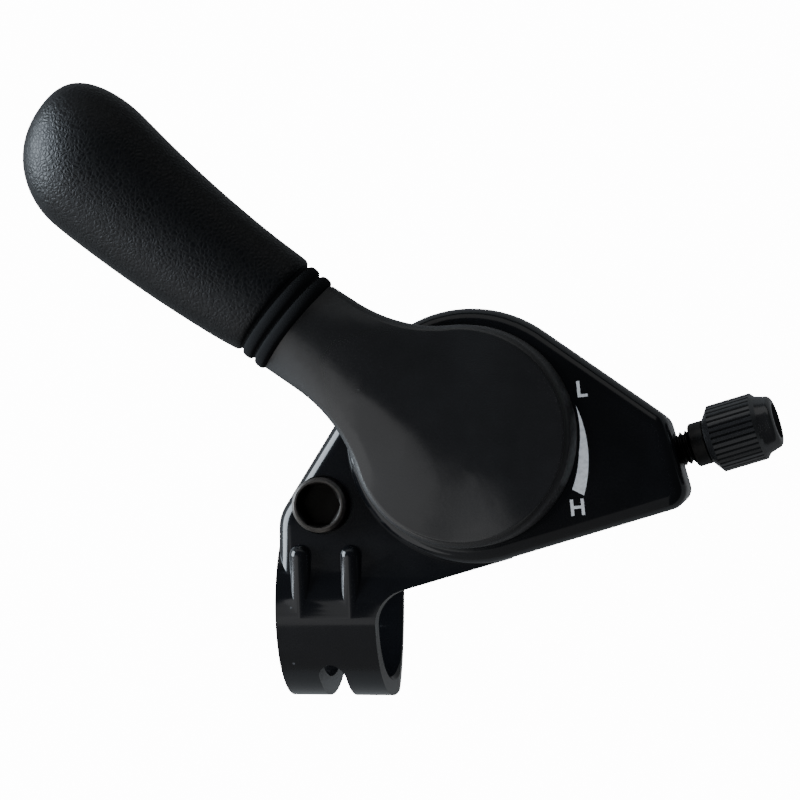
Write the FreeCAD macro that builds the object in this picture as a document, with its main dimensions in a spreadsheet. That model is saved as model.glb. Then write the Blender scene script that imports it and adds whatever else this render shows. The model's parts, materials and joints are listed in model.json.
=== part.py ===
import FreeCAD, Part
import math
import os

import Sketcher
from FreeCAD import Placement, Rotation, Vector

# Driving sizes in millimetres and degrees. The frame: origin in the middle of the
# handlebar clamp, X along the bar, Y forward, Z along the lever's pivot.
SIZES = [
    # handlebar clamp
    ("bar_radius", 11.1),
    ("clamp_wall", 2.8),
    ("clamp_width", 15.0),
    ("clamp_taper", 1.5),
    ("bore_bevel", 0.5),
    ("split_gap", 2.0),
    ("slot_width", 4.0),
    ("slot_reach", 10.5),
    ("plate_rise", 2.2),
    ("plate_round", 2.6),
    ("corner_round", 5.5),
    ("ear_inset", 3.1),
    ("ear_margin", 5.2),
    ("rib_offset", 3.8),
    ("rib_radius", 1.5),
    ("rib_top", 4.2),
    ("rib_gap", 2.4),
    ("rib_length", 8.9),
    # clamp bolt
    ("edge_bevel", 0.4),
    ("bolt_x", -0.55),
    ("bolt_gap", 3.5),
    ("bolt_shank", 2.5),
    ("bolt_clear", 0.2),
    ("bolt_head", 4.05),
    ("bolt_head_height", 3.5),
    ("bolt_seat", 0.9),
    ("seat_gap", 0.3),
    ("bolt_key", 5.8),
    ("bolt_mouth", 0.7),
    ("bolt_key_depth", 2.6),
    ("washer_radius", 5.0),
    ("washer_thick", 1.0),
    ("spot_gap", 0.5),
    ("nut_key", 8.0),
    ("nut_height", 4.0),
    # hub and snout of the housing
    ("hub_x", 21.9),
    ("hub_rise", 13.6),
    ("hub_radius", 18.7),
    ("deck_rise", 4.9),
    ("deck_round", 2.3),
    ("deck_wall", 3.4),
    ("deck_draft", 6.0),
    ("left_angle", 58.0),
    ("left_round", 6.0),
    ("top_angle", 34.2),
    ("cable_angle", 16.6),
    ("snout_length", 28.5),
    ("snout_corner", 3.0),
    ("snout_shoulder", 3.5),
    ("boss_radius", 11.0),
    ("boss_depth", 6.0),
    ("bar_relief", 0.5),
    # drum chamber and friction stack
    ("recess_radius", 14.5),
    ("recess_depth", 3.0),
    ("chamber_gap", 0.8),
    ("drum_gap", 1.0),
    ("drum_width", 5.0),
    ("drum_radius", 11.4),
    ("cable_inset", 0.9),
    ("cable_radius", 0.6),
    ("nipple_radius", 2.0),
    ("nipple_wall", 0.4),
    ("nipple_depth", 3.5),
    ("nipple_angle", 157.0),
    ("thrust_thick", 1.0),
    ("thrust_radius", 6.4),
    ("floor_wall", 2.0),
    ("bush_wall", 1.15),
    ("journal_radius", 4.0),
    ("running_gap", 0.05),
    ("journal_flat", 6.4),
    ("friction_thick", 1.0),
    ("keyed_thick", 1.2),
    ("spring_rise", 1.2),
    ("spring_thick", 0.5),
    ("washer_gap", 0.3),
    ("stack_radius", 6.2),
    ("drive_key", 9.0),
    ("drive_gap", 0.05),
    ("pin_radius", 1.15),
    ("pin_clear", 0.35),
    ("pin_angle", -20.0),
    ("pin_gap", 0.3),
    ("pin_root", 3.0),
    ("stop_depth", 1.6),
    ("swing", 62.0),
    ("screw_shank", 1.9),
    ("screw_gap", 0.05),
    ("screw_head", 4.2),
    ("screw_head_height", 2.2),
    ("screw_key", 3.0),
    ("screw_key_depth", 1.5),
    ("insert_wall", 0.7),
    # lever
    ("lever_angle", 146.6),
    ("lever_gap", 0.4),
    ("cap_radius", 16.25),
    ("cap_height", 7.2),
    ("cap_wall", 2.4),
    ("cap_edge", 1.2),
    ("cap_crown", 1.0),
    ("skirt_gap", 0.4),
    ("skirt_wall", 1.8),
    ("boss_core", 6.0),
    ("neck_half", 7.6),
    ("neck_blend", 22.0),
    ("neck_length", 28.9),
    ("neck_height", 9.6),
    ("neck_crown", 4.0),
    # grip
    ("grip_angle", 141.0),
    ("grip_half", 8.35),
    ("grip_depth", 5.5),
    ("grip_flare", 10.45),
    ("grip_flare_depth", 7.0),
    ("grip_length", 50.6),
    ("grip_dome", 12.0),
    ("grip_bow", 1.28),
    ("grip_lean", 1.7),
    ("ring_width", 1.75),
    ("ring_groove", 0.5),
    ("ring_depth", 0.6),
    ("ring_inset", 0.15),
    ("ring_bevel", 0.25),
    ("spigot_radius", 4.0),
    ("spigot_length", 36.0),
    ("spigot_gap", 0.05),
    # cable adjuster
    ("thread_radius", 2.5),
    ("thread_gap", 0.05),
    ("thread_depth", 12.0),
    ("thread_shown", 2.0),
    ("collar_radius", 3.25),
    ("collar_length", 2.3),
    ("cone_length", 1.2),
    ("knurl_radius", 5.0),
    ("knurl_length", 6.5),
    ("knurl_depth", 0.4),
    ("knurl_count", 36),
    ("knurl_share", 0.62),
    ("nose_step", 0.6),
    ("nose_radius", 4.35),
    ("nose_taper", 0.4),
    ("nose_length", 2.2),
    ("nose_round", 0.9),
    ("socket_radius", 2.6),
    ("socket_depth", 8.0),
    ("cable_hole", 1.1),
]

# Places worked out from the sizes, as expressions.
OUTER = "(sizes.bar_radius + sizes.clamp_wall)"
HALF_WIDTH = "(sizes.clamp_width / 2)"
PLATE_FRONT = "(sizes.bar_radius + sizes.plate_rise)"
BOLT_SEAT = f"({PLATE_FRONT} - sizes.bolt_seat)"
BOLT_Y = "(sizes.bar_radius + sizes.bolt_gap)"
HUB_Y = "(sizes.bar_radius + sizes.hub_rise)"
DECK_FRONT = "(sizes.bar_radius + sizes.deck_rise)"
DECK_SEAM = f"({DECK_FRONT} - sizes.deck_wall)"
RECESS_FLOOR = f"({DECK_FRONT} - sizes.recess_depth)"
DRUM_FRONT = f"({RECESS_FLOOR} - sizes.drum_gap)"
DRUM_BACK = f"({DRUM_FRONT} - sizes.drum_width)"
CABLE_Z = f"({DRUM_BACK} + sizes.drum_width / 2)"
FLOOR_FRONT = f"({DRUM_BACK} - sizes.thrust_thick)"
FLOOR_BACK = f"({FLOOR_FRONT} - sizes.floor_wall)"
FRICTION_BACK = f"({FLOOR_BACK} - sizes.friction_thick)"
KEYED_BACK = f"({FRICTION_BACK} - sizes.keyed_thick)"
SPRING_BACK = f"({KEYED_BACK} - sizes.spring_rise)"
BOSS_BACK = f"({FLOOR_BACK} - sizes.boss_depth)"
SPLIT = "(sizes.split_gap / 2)"
EAR_BACK = "(sizes.bar_radius - sizes.ear_inset)"
COUNTERBORE = "(sizes.stack_radius + sizes.washer_gap)"
BUSH_RADIUS = "(sizes.journal_radius + sizes.running_gap + sizes.bush_wall)"
INSERT_BORE = "(sizes.screw_shank + sizes.screw_gap)"
INSERT_RADIUS = f"({INSERT_BORE} + sizes.insert_wall)"
BOLT_HOLE = "(sizes.bolt_shank + sizes.bolt_clear)"
CHAMBER = "(sizes.drum_radius + sizes.chamber_gap)"
PITCH = "(sizes.drum_radius - sizes.cable_inset)"
PIN_CIRCLE = "(sizes.thrust_radius + sizes.pin_radius + sizes.pin_clear)"
FAR = "(sizes.hub_x + sizes.snout_length * 2)"

doc = FreeCAD.newDocument("shifter")
sheet = doc.addObject("Spreadsheet::Sheet", "sizes")


def fill_sheet():
    """Put every driving size into the sheet under its own name."""
    for row, (name, size) in enumerate(SIZES, start=1):
        sheet.set(f"A{row}", name)
        sheet.set(f"B{row}", str(size))
        sheet.setAlias(f"B{row}", name)
    doc.recompute()


def value(expression):
    """Number that an expression over the sheet gives now."""
    found = sheet.evalExpression(expression)
    return float(getattr(found, "Value", found))


def along_cable(s, n):
    """Place s along the cable's direction and n to its left, counted from the hub."""
    x = f"sizes.hub_x + ({s}) * cos(sizes.cable_angle) - ({n}) * sin(sizes.cable_angle)"
    y = f"{HUB_Y} + ({s}) * sin(sizes.cable_angle) + ({n}) * cos(sizes.cable_angle)"
    return x, y


def round_hub(radius, angle):
    """Place on a circle round the hub."""
    return f"sizes.hub_x + ({radius}) * cos({angle})", f"{HUB_Y} + ({radius}) * sin({angle})"


def new_body(name):
    return doc.addObject("PartDesign::Body", name)


def origin_plane(body, role):
    return [item for item in body.Origin.OriginFeatures if item.Role == role][0]


def new_sketch(body, name, plane="XY_Plane", height="0"):
    """Sketch on one of the body's own planes, moved along its normal."""
    sketch = body.newObject("Sketcher::SketchObject", name)
    sketch.AttachmentSupport = [(origin_plane(body, plane), "")]
    sketch.MapMode = "FlatFace"
    sketch.AttachmentOffset = Placement(Vector(0, 0, value(height)), Rotation())
    sketch.setExpression("AttachmentOffset.Base.z", height)
    return sketch


def bind(sketch, constraint, expression):
    index = sketch.addConstraint(constraint)
    sketch.setExpression(f"Constraints[{index}]", expression)


def pin(sketch, geometry, point, place):
    """Fix one point of a sketch at an x and a y expression."""
    bind(sketch, Sketcher.Constraint("DistanceX", geometry, point, value(place[0])), place[0])
    bind(sketch, Sketcher.Constraint("DistanceY", geometry, point, value(place[1])), place[1])


def circle(sketch, place, radius):
    centre = Vector(value(place[0]), value(place[1]), 0)
    index = sketch.addGeometry(Part.Circle(centre, Vector(0, 0, 1), value(radius)))
    bind(sketch, Sketcher.Constraint("Radius", index, value(radius)), radius)
    pin(sketch, index, 3, place)


def arc_between(start, end, radius, turn, large):
    """Arc from start to end; turn is 1 when it runs anticlockwise and -1 when clockwise."""
    chord = end - start
    middle = (start + end) * 0.5
    rise = math.sqrt(max(radius ** 2 - (chord.Length / 2) ** 2, 0.0))
    normal = Vector(-chord.y, chord.x, 0).normalize()
    side = turn if not large else -turn
    centre = middle + normal * (rise * side)
    first, last = (start, end) if turn > 0 else (end, start)
    angles = [math.atan2((p - centre).y, (p - centre).x) for p in (first, last)]
    return Part.ArcOfCircle(Part.Circle(centre, Vector(0, 0, 1), radius), angles[0], angles[1])


def size_arc(sketch, index, radius, start, end):
    """Bind an arc's radius, or for a half circle the middle of its chord."""
    across = value(end[0]) - value(start[0])
    along = value(end[1]) - value(start[1])
    if 2 * value(radius) - math.hypot(across, along) > 1e-6:
        bind(sketch, Sketcher.Constraint("Radius", index, value(radius)), radius)
        return
    kind, axis = ("DistanceY", 1) if abs(across) > abs(along) else ("DistanceX", 0)
    middle = f"(({start[axis]}) + ({end[axis]})) / 2"
    bind(sketch, Sketcher.Constraint(kind, index, 3, value(middle)), middle)


def outline(sketch, corners, arcs=None):
    """Closed outline through the corners; arcs gives (radius, turn, large) for a side."""
    arcs = arcs or {}
    places = [Vector(value(x), value(y), 0) for x, y in corners]
    ends = []
    for side, start in enumerate(places):
        end = places[(side + 1) % len(places)]
        if side in arcs:
            radius, turn, large = arcs[side]
            index = sketch.addGeometry(arc_between(start, end, value(radius), turn, large))
            ends.append((index, 1, 2) if turn > 0 else (index, 2, 1))
            continue
        index = sketch.addGeometry(Part.LineSegment(start, end))
        ends.append((index, 1, 2))
    for side, (index, first, last) in enumerate(ends):
        following, begin, _ = ends[(side + 1) % len(ends)]
        sketch.addConstraint(Sketcher.Constraint("Coincident", index, last, following, begin))
    for side, (index, first, last) in enumerate(ends):
        pin(sketch, index, first, corners[side])
        if side in arcs:
            size_arc(sketch, index, arcs[side][0], corners[side], corners[(side + 1) % len(corners)])


def hexagon(sketch, place, key):
    """Hexagon of the given width across its flats."""
    reach = f"(({key}) / sqrt(3))"
    corners = []
    for step in range(6):
        across = f"{place[0]} + {reach} * cos({60 * step})"
        up = f"{place[1]} + {reach} * sin({60 * step})"
        corners.append((across, up))
    outline(sketch, corners)


def pad(body, name, sketch, length, reverse=False, both=False):
    return extrude(body, "PartDesign::Pad", name, sketch, length, reverse, both)


def pocket(body, name, sketch, length, reverse=False, both=False):
    return extrude(body, "PartDesign::Pocket", name, sketch, length, reverse, both)


def extrude(body, kind, name, sketch, length, reverse, both):
    feature = body.newObject(kind, name)
    feature.Profile = sketch
    feature.Length = value(length)
    feature.setExpression("Length", length)
    feature.Reversed = reverse
    feature.SideType = "Symmetric" if both else "One side"
    sketch.Visibility = False
    doc.recompute()
    return feature


def draft(feature):
    """Lean the walls of a pad inwards, as a mould needs."""
    feature.TaperAngle = -value("sizes.deck_draft")
    feature.setExpression("TaperAngle", "-sizes.deck_draft")
    doc.recompute()


def turned(body, name, sketch, axis="V_Axis", kind="PartDesign::Revolution"):
    """Full turn of a sketch round one of its own axes."""
    feature = body.newObject(kind, name)
    feature.Profile = sketch
    feature.ReferenceAxis = (sketch, [axis])
    feature.Angle = 360
    sketch.Visibility = False
    doc.recompute()
    return feature


def round_edges(body, name, radius, chosen, kind="PartDesign::Fillet"):
    """Round or bevel the edges of the body so far that the test picks."""
    base = body.Tip
    names = [f"Edge{i}" for i, edge in enumerate(base.Shape.Edges, start=1) if chosen(edge)]
    feature = body.newObject(kind, name)
    feature.Base = (base, names)
    sizing = "Radius" if kind == "PartDesign::Fillet" else "Size"
    setattr(feature, sizing, value(radius))
    feature.setExpression(sizing, radius)
    doc.recompute()
    return feature


def lies_at_z(edge, height):
    box = edge.BoundBox
    return abs(box.ZMin - height) < 1e-4 and abs(box.ZMax - height) < 1e-4


def place_at(body, x, y):
    """Stand a body's own Z axis at x and y."""
    body.Placement = Placement(Vector(value(x), value(y), 0), Rotation())
    body.setExpression("Placement.Base.x", x)
    body.setExpression("Placement.Base.y", y)


def turned_body(name, corners, x, y):
    """Body of revolution round an upright axis at x and y, from (radius, height) corners."""
    body = new_body(name)
    sketch = new_sketch(body, name + "_profile", "XZ_Plane")
    outline(sketch, corners)
    turned(body, name + "_turned", sketch)
    place_at(body, x, y)
    return body


def ring_corners(inner, outer, low, high):
    return [(inner, low), (outer, low), (outer, high), (inner, high)]


def lower_line(x):
    """Height of the housing's lower edge, a tangent of the hub, at x."""
    touch_x = "(sizes.hub_x + sizes.hub_radius * sin(sizes.cable_angle))"
    touch_y = f"({HUB_Y} - sizes.hub_radius * cos(sizes.cable_angle))"
    return f"({touch_y} + (({x}) - {touch_x}) * tan(sizes.cable_angle))"


def left_line(y):
    """Place of the plate's slanted left edge, another tangent of the hub, at height y."""
    touch_x = "(sizes.hub_x - sizes.hub_radius * sin(sizes.left_angle))"
    touch_y = f"({HUB_Y} + sizes.hub_radius * cos(sizes.left_angle))"
    return f"({touch_x} - ({touch_y} - ({y})) / tan(sizes.left_angle))"


def left_arc():
    """Ends of the rounded corner between the slanted edge and the band's upright left edge."""
    touch_x = "(sizes.hub_x - sizes.hub_radius * sin(sizes.left_angle))"
    touch_y = f"({HUB_Y} + sizes.hub_radius * cos(sizes.left_angle))"
    corner_y = f"({touch_y} - ({touch_x} + {HALF_WIDTH}) * tan(sizes.left_angle))"
    reach = "(sizes.left_round * tan((90 - sizes.left_angle) / 2))"
    on_slant = (
        f"{reach} * cos(sizes.left_angle) - {HALF_WIDTH}",
        f"{corner_y} + {reach} * sin(sizes.left_angle)",
    )
    return on_slant, (f"-{HALF_WIDTH}", f"{corner_y} - {reach}")


def corner_arc():
    """Ends of the rounded inner corner between the band and the lower edge."""
    centre_x = f"({HALF_WIDTH} + sizes.corner_round)"
    centre_y = f"({lower_line(centre_x)} - sizes.corner_round / cos(sizes.cable_angle))"
    on_line = (
        f"{centre_x} - sizes.corner_round * sin(sizes.cable_angle)",
        f"{centre_y} + sizes.corner_round * cos(sizes.cable_angle)",
    )
    return (HALF_WIDTH, centre_y), on_line


def housing_band(body):
    """Bar clamp, run on at the front under the hub and trimmed to its rounded corner."""
    band = new_sketch(body, "band_profile", "YZ_Plane", f"-{HALF_WIDTH}")
    circle(band, ("0", "0"), OUTER)
    pad(body, "band", band, "sizes.clamp_width")
    low = "(sizes.bar_radius / 2)"
    half = f"sqrt({OUTER} ^ 2 - {low} ^ 2)"
    bridge = new_sketch(body, "bridge_profile", "YZ_Plane", "0")
    outline(bridge, [(f"-{half}", low), (half, low)], {1: (OUTER, 1, False)})
    pad(body, "bridge", bridge, "sizes.hub_x")
    on_band, on_line = corner_arc()
    below = f"(-{OUTER} - 2)"
    edge_x = "(sizes.hub_x + sizes.hub_radius * sin(sizes.cable_angle))"
    trim = new_sketch(body, "corner_trim_profile", "XY_Plane", f"{OUTER} + 1")
    corners = [(HALF_WIDTH, below), (edge_x, below), (edge_x, lower_line(edge_x)), on_line, on_band]
    outline(trim, corners, {3: ("sizes.corner_round", 1, False)})
    pocket(body, "corner_trim", trim, f"{OUTER} * 2 + 2")


def housing_taper(body):
    """Bevel both flanks of the band's rear half."""
    for name, sign in (("left_taper", "-"), ("right_taper", "")):
        sketch = new_sketch(body, name + "_profile", "XZ_Plane", "0")
        deep = f"(-{OUTER} - 0.5)"
        out = f"{sign}({HALF_WIDTH} + 2)"
        corners = [
            (f"{sign}{HALF_WIDTH}", f"-{EAR_BACK} / 2"),
            (f"{sign}({HALF_WIDTH} - sizes.clamp_taper)", deep),
            (out, deep),
            (out, f"-{EAR_BACK} / 2"),
        ]
        outline(sketch, corners)
        pocket(body, name, sketch, f"{OUTER} * 4", both=True)


def housing_plate(body):
    """Plate between the band and the hub, with its rounded left edge."""
    on_band, on_line = corner_arc()
    touch_y = f"({HUB_Y} + sizes.hub_radius * cos(sizes.left_angle))"
    low_touch = "(sizes.hub_x + sizes.hub_radius * sin(sizes.cable_angle))"
    left = f"-{HALF_WIDTH}"
    plate = new_sketch(body, "plate_profile", "XY_Plane", PLATE_FRONT)
    corners = [
        (left, on_band[1]),
        on_band,
        on_line,
        (low_touch, lower_line(low_touch)),
        ("sizes.hub_x", HUB_Y),
        (left_line(touch_y), touch_y),
        *left_arc(),
    ]
    arcs = {1: ("sizes.corner_round", -1, False), 6: ("sizes.left_round", 1, False)}
    outline(plate, corners, arcs)
    pad(body, "plate", plate, f"{PLATE_FRONT} - {FLOOR_BACK}", reverse=True)
    level = value(PLATE_FRONT)
    reach = value(left_line(touch_y)) + 0.1
    round_edges(body, "plate_edge", "sizes.plate_round",
                lambda edge: lies_at_z(edge, level) and edge.BoundBox.XMax < reach)


def housing_ears(body):
    """The two ears, above and below the split, that the bolt draws together."""
    left = f"-{HALF_WIDTH}"
    top = f"({BOLT_Y} + sizes.ear_margin)"
    ear_corners = [(left, "0"), (HALF_WIDTH, "0"), (HALF_WIDTH, top), (left_line(top), top), *left_arc()]
    ear_arcs = {4: ("sizes.left_round", 1, False)}
    front = new_sketch(body, "front_ear_profile", "XY_Plane", SPLIT)
    outline(front, ear_corners, ear_arcs)
    pad(body, "front_ear", front, f"{FLOOR_BACK} - {SPLIT} + 1")
    rear = new_sketch(body, "rear_ear_profile", "XY_Plane", f"-{EAR_BACK}")
    outline(rear, ear_corners, ear_arcs)
    pad(body, "rear_ear", rear, f"{EAR_BACK} - {SPLIT}")


def housing_deck(body):
    """Round hub and snout with one rounded front edge, and the boss behind the hub."""
    radius = "sizes.hub_radius"
    end = "sizes.snout_length"
    slope = "(90 - sizes.top_angle - sizes.cable_angle)"
    high = f"(({radius} - {end} * cos({slope})) / sin({slope}))"
    deck = new_sketch(body, "deck_profile", "XY_Plane", DECK_SEAM)
    reach = f"(sizes.snout_shoulder * tan({slope} / 2))"
    corners = [
        along_cable("0", f"-{radius}"),
        along_cable(f"{end} - sizes.snout_corner", f"-{radius}"),
        along_cable(end, f"-{radius} + sizes.snout_corner"),
        along_cable(end, f"{high} - {reach}"),
        along_cable(f"{end} - {reach} * sin({slope})", f"{high} + {reach} * cos({slope})"),
        round_hub(radius, "90 - sizes.top_angle"),
    ]
    arcs = {1: ("sizes.snout_corner", 1, False), 3: ("sizes.snout_shoulder", 1, False), 5: (radius, 1, True)}
    outline(deck, corners, arcs)
    pad(body, "deck", deck, "sizes.deck_wall")
    front = value(DECK_FRONT)
    round_edges(body, "deck_edge", "sizes.deck_round", lambda edge: lies_at_z(edge, front))
    draft(pad(body, "deck_skirt", deck, f"{DECK_SEAM} - {FLOOR_BACK}", reverse=True))
    boss = new_sketch(body, "boss_profile", "XY_Plane", BOSS_BACK)
    circle(boss, ("sizes.hub_x", HUB_Y), "sizes.boss_radius")
    pad(body, "boss", boss, f"{FLOOR_BACK} - {BOSS_BACK}")


def housing_ribs(body):
    """Two rounded ribs that run over the band's front."""
    for name, sign in (("left_rib", "-"), ("right_rib", "")):
        sketch = new_sketch(body, name + "_profile", "YZ_Plane", f"{sign}sizes.rib_offset")
        top_y = "(sizes.bar_radius - sizes.rib_gap - sizes.rib_radius)"
        top_z = "(sizes.bar_radius + sizes.rib_top - sizes.rib_radius)"
        low_y = f"({top_y} - sizes.rib_length)"
        low_z = f"({top_z} - sizes.rib_radius)"
        lean = f"atan2({top_z} - {low_z}; {top_y} - {low_y})"
        r = "sizes.rib_radius"
        corners = [
            (f"{low_y} - {r} * cos({lean})", f"{low_z} - {r} * sin({lean})"),
            (f"{top_y} + {r} * cos({lean})", f"{top_z} + {r} * sin({lean})"),
            (f"{top_y} - {r} * sin({lean})", f"{top_z} + {r} * cos({lean})"),
            (f"{low_y} - {r} * sin({lean})", f"{low_z} + {r} * cos({lean})"),
        ]
        outline(sketch, corners, {1: (r, 1, False), 3: (r, 1, False)})
        axis = Part.LineSegment(*[Vector(value(x), value(y), 0) for x, y in corners[:2]])
        index = sketch.addGeometry(axis, True)
        pin(sketch, index, 1, corners[0])
        pin(sketch, index, 2, corners[1])
        turned(body, name, sketch, "Axis0")


def housing_bar(body):
    """Bore for the handlebar, the split and slot that let the band close, and the bolt's seat."""
    bore = new_sketch(body, "bore_profile", "YZ_Plane", HALF_WIDTH)
    circle(bore, ("0", "0"), "sizes.bar_radius")
    pocket(body, "bore", bore, "sizes.clamp_width + 1")
    bevel = new_sketch(body, "bevel_profile", "XY_Plane")
    deep = f"({HALF_WIDTH} - sizes.bore_bevel)"
    wide = "(sizes.bar_radius + sizes.bore_bevel)"
    outline(bevel, [
        (HALF_WIDTH, "0"),
        (HALF_WIDTH, wide),
        (deep, "sizes.bar_radius"),
        (f"-{deep}", "sizes.bar_radius"),
        (f"-{HALF_WIDTH}", wide),
        (f"-{HALF_WIDTH}", "0"),
    ])
    turned(body, "bore_mouths", bevel, "H_Axis", "PartDesign::Groove")
    relief = new_sketch(body, "relief_profile", "YZ_Plane", HALF_WIDTH)
    circle(relief, ("0", "0"), "sizes.bar_radius + sizes.bar_relief")
    pocket(body, "relief", relief, FAR, reverse=True)
    split = new_sketch(body, "split_profile", "XY_Plane", SPLIT)
    top = f"({BOLT_Y} + sizes.ear_margin + 1)"
    out = f"({HALF_WIDTH} + 1)"
    start = "(sizes.bar_radius / 2)"
    outline(split, [(f"-{out}", start), (out, start), (out, top), (f"-{out}", top)])
    pocket(body, "split", split, "sizes.split_gap")
    slot = new_sketch(body, "slot_profile", "XZ_Plane", "0")
    half = "(sizes.slot_width / 2)"
    reach = f"(sizes.slot_reach - {half})"
    corners = [(half, f"-{reach}"), (half, reach), (f"-{half}", reach), (f"-{half}", f"-{reach}")]
    outline(slot, corners, {1: (half, 1, False), 3: (half, 1, False)})
    pocket(body, "slot", slot, f"{OUTER} + 2", reverse=True)
    hole = new_sketch(body, "bolt_hole_profile", "XY_Plane", f"{PLATE_FRONT} + 1")
    circle(hole, ("sizes.bolt_x", BOLT_Y), BOLT_HOLE)
    pocket(body, "bolt_hole", hole, f"{PLATE_FRONT} + {EAR_BACK} + 2")
    seat = new_sketch(body, "bolt_seat_profile", "XY_Plane", BOLT_SEAT)
    circle(seat, ("sizes.bolt_x", BOLT_Y), "sizes.bolt_head + sizes.seat_gap")
    pocket(body, "bolt_seat", seat, "sizes.bolt_head_height", reverse=True)
    spot = new_sketch(body, "spot_face_profile", "XY_Plane", f"-{EAR_BACK}")
    circle(spot, ("sizes.bolt_x", BOLT_Y), "sizes.washer_radius + sizes.spot_gap")
    pocket(body, "spot_face", spot, OUTER)


def housing_chamber(body):
    """Recess, drum chamber, holes for bush and stop pin, and the rear counterbore."""
    hub = ("sizes.hub_x", HUB_Y)
    steps = [
        ("recess", DECK_FRONT, "sizes.recess_radius", "sizes.recess_depth"),
        ("chamber", RECESS_FLOOR, CHAMBER, f"{RECESS_FLOOR} - {FLOOR_FRONT}"),
        ("bush_hole", FLOOR_FRONT, BUSH_RADIUS, "sizes.floor_wall + 0.5"),
        ("counterbore", FLOOR_BACK, COUNTERBORE, "sizes.boss_depth + 1"),
    ]
    for name, height, radius, depth in steps:
        sketch = new_sketch(body, name + "_profile", "XY_Plane", height)
        circle(sketch, hub, radius)
        pocket(body, name, sketch, depth)
    pin_hole = new_sketch(body, "pin_hole_profile", "XY_Plane", FLOOR_FRONT)
    circle(pin_hole, round_hub(PIN_CIRCLE, "sizes.pin_angle"), "sizes.pin_radius")
    pocket(body, "pin_hole", pin_hole, "sizes.floor_wall + sizes.pin_root")


def housing_cable(body):
    """Stepped hole from the snout's end to the chamber."""
    sketch = new_sketch(body, "cable_hole_profile", "XY_Plane", CABLE_Z)
    line = f"(-{PITCH})"
    wide = f"({line} + sizes.thread_radius + sizes.thread_gap)"
    thin = f"({line} + sizes.cable_hole)"
    end = "(sizes.snout_length + 1)"
    deep = "(sizes.snout_length - sizes.thread_depth)"
    start = f"({PITCH} / 4)"
    corners = [
        along_cable(start, line),
        along_cable(end, line),
        along_cable(end, wide),
        along_cable(deep, wide),
        along_cable(deep, thin),
        along_cable(start, thin),
    ]
    outline(sketch, corners)
    axis = Part.LineSegment(*[Vector(value(x), value(y), 0) for x, y in corners[:2]])
    index = sketch.addGeometry(axis, True)
    pin(sketch, index, 1, corners[0])
    pin(sketch, index, 2, corners[1])
    turned(body, "cable_hole_cut", sketch, "Axis0", "PartDesign::Groove")


def make_housing():
    body = new_body("housing")
    housing_plate(body)
    housing_deck(body)
    housing_band(body)
    housing_ears(body)
    housing_taper(body)
    housing_ribs(body)
    housing_bar(body)
    housing_chamber(body)
    housing_cable(body)


def make_clamp_bolt():
    """Bolt with a round head and hexagon socket, its washer and its nut."""
    tail = f"-({EAR_BACK} + sizes.washer_thick + sizes.nut_height + 1)"
    head = f"({BOLT_SEAT} + sizes.bolt_head_height)"
    bevel = "sizes.edge_bevel"
    bolt = turned_body("clamp_bolt", [
        ("0", tail),
        (f"sizes.bolt_shank - {bevel}", tail),
        ("sizes.bolt_shank", f"{tail} + {bevel}"),
        ("sizes.bolt_shank", BOLT_SEAT),
        ("sizes.bolt_head", BOLT_SEAT),
        ("sizes.bolt_head", f"{head} - {bevel}"),
        (f"sizes.bolt_head - {bevel}", head),
        ("0", head),
    ], "sizes.bolt_x", BOLT_Y)
    key = new_sketch(bolt, "bolt_key_profile", "XY_Plane", head)
    hexagon(key, ("0", "0"), "sizes.bolt_key")
    pocket(bolt, "bolt_key", key, "sizes.bolt_key_depth")
    mouth = new_sketch(bolt, "bolt_mouth_profile", "XZ_Plane")
    reach = "(sizes.bolt_key / sqrt(3) + 0.05)"
    low = f"({head} - sizes.bolt_mouth)"
    outline(mouth, [("0", head), ("0", low), (f"{reach} - sizes.bolt_mouth", low), (reach, head)])
    turned(bolt, "bolt_mouth", mouth, kind="PartDesign::Groove")
    washer_back = f"(-{EAR_BACK} - sizes.washer_thick)"
    turned_body("clamp_washer", ring_corners(BOLT_HOLE, "sizes.washer_radius", washer_back, f"-{EAR_BACK}"),
                "sizes.bolt_x", BOLT_Y)
    nut = new_body("clamp_nut")
    hexes = new_sketch(nut, "nut_profile", "XY_Plane", f"{washer_back} - sizes.nut_height")
    hexagon(hexes, ("0", "0"), "sizes.nut_key")
    circle(hexes, ("0", "0"), "sizes.bolt_shank")
    pad(nut, "nut", hexes, "sizes.nut_height")
    place_at(nut, "sizes.bolt_x", BOLT_Y)


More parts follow.
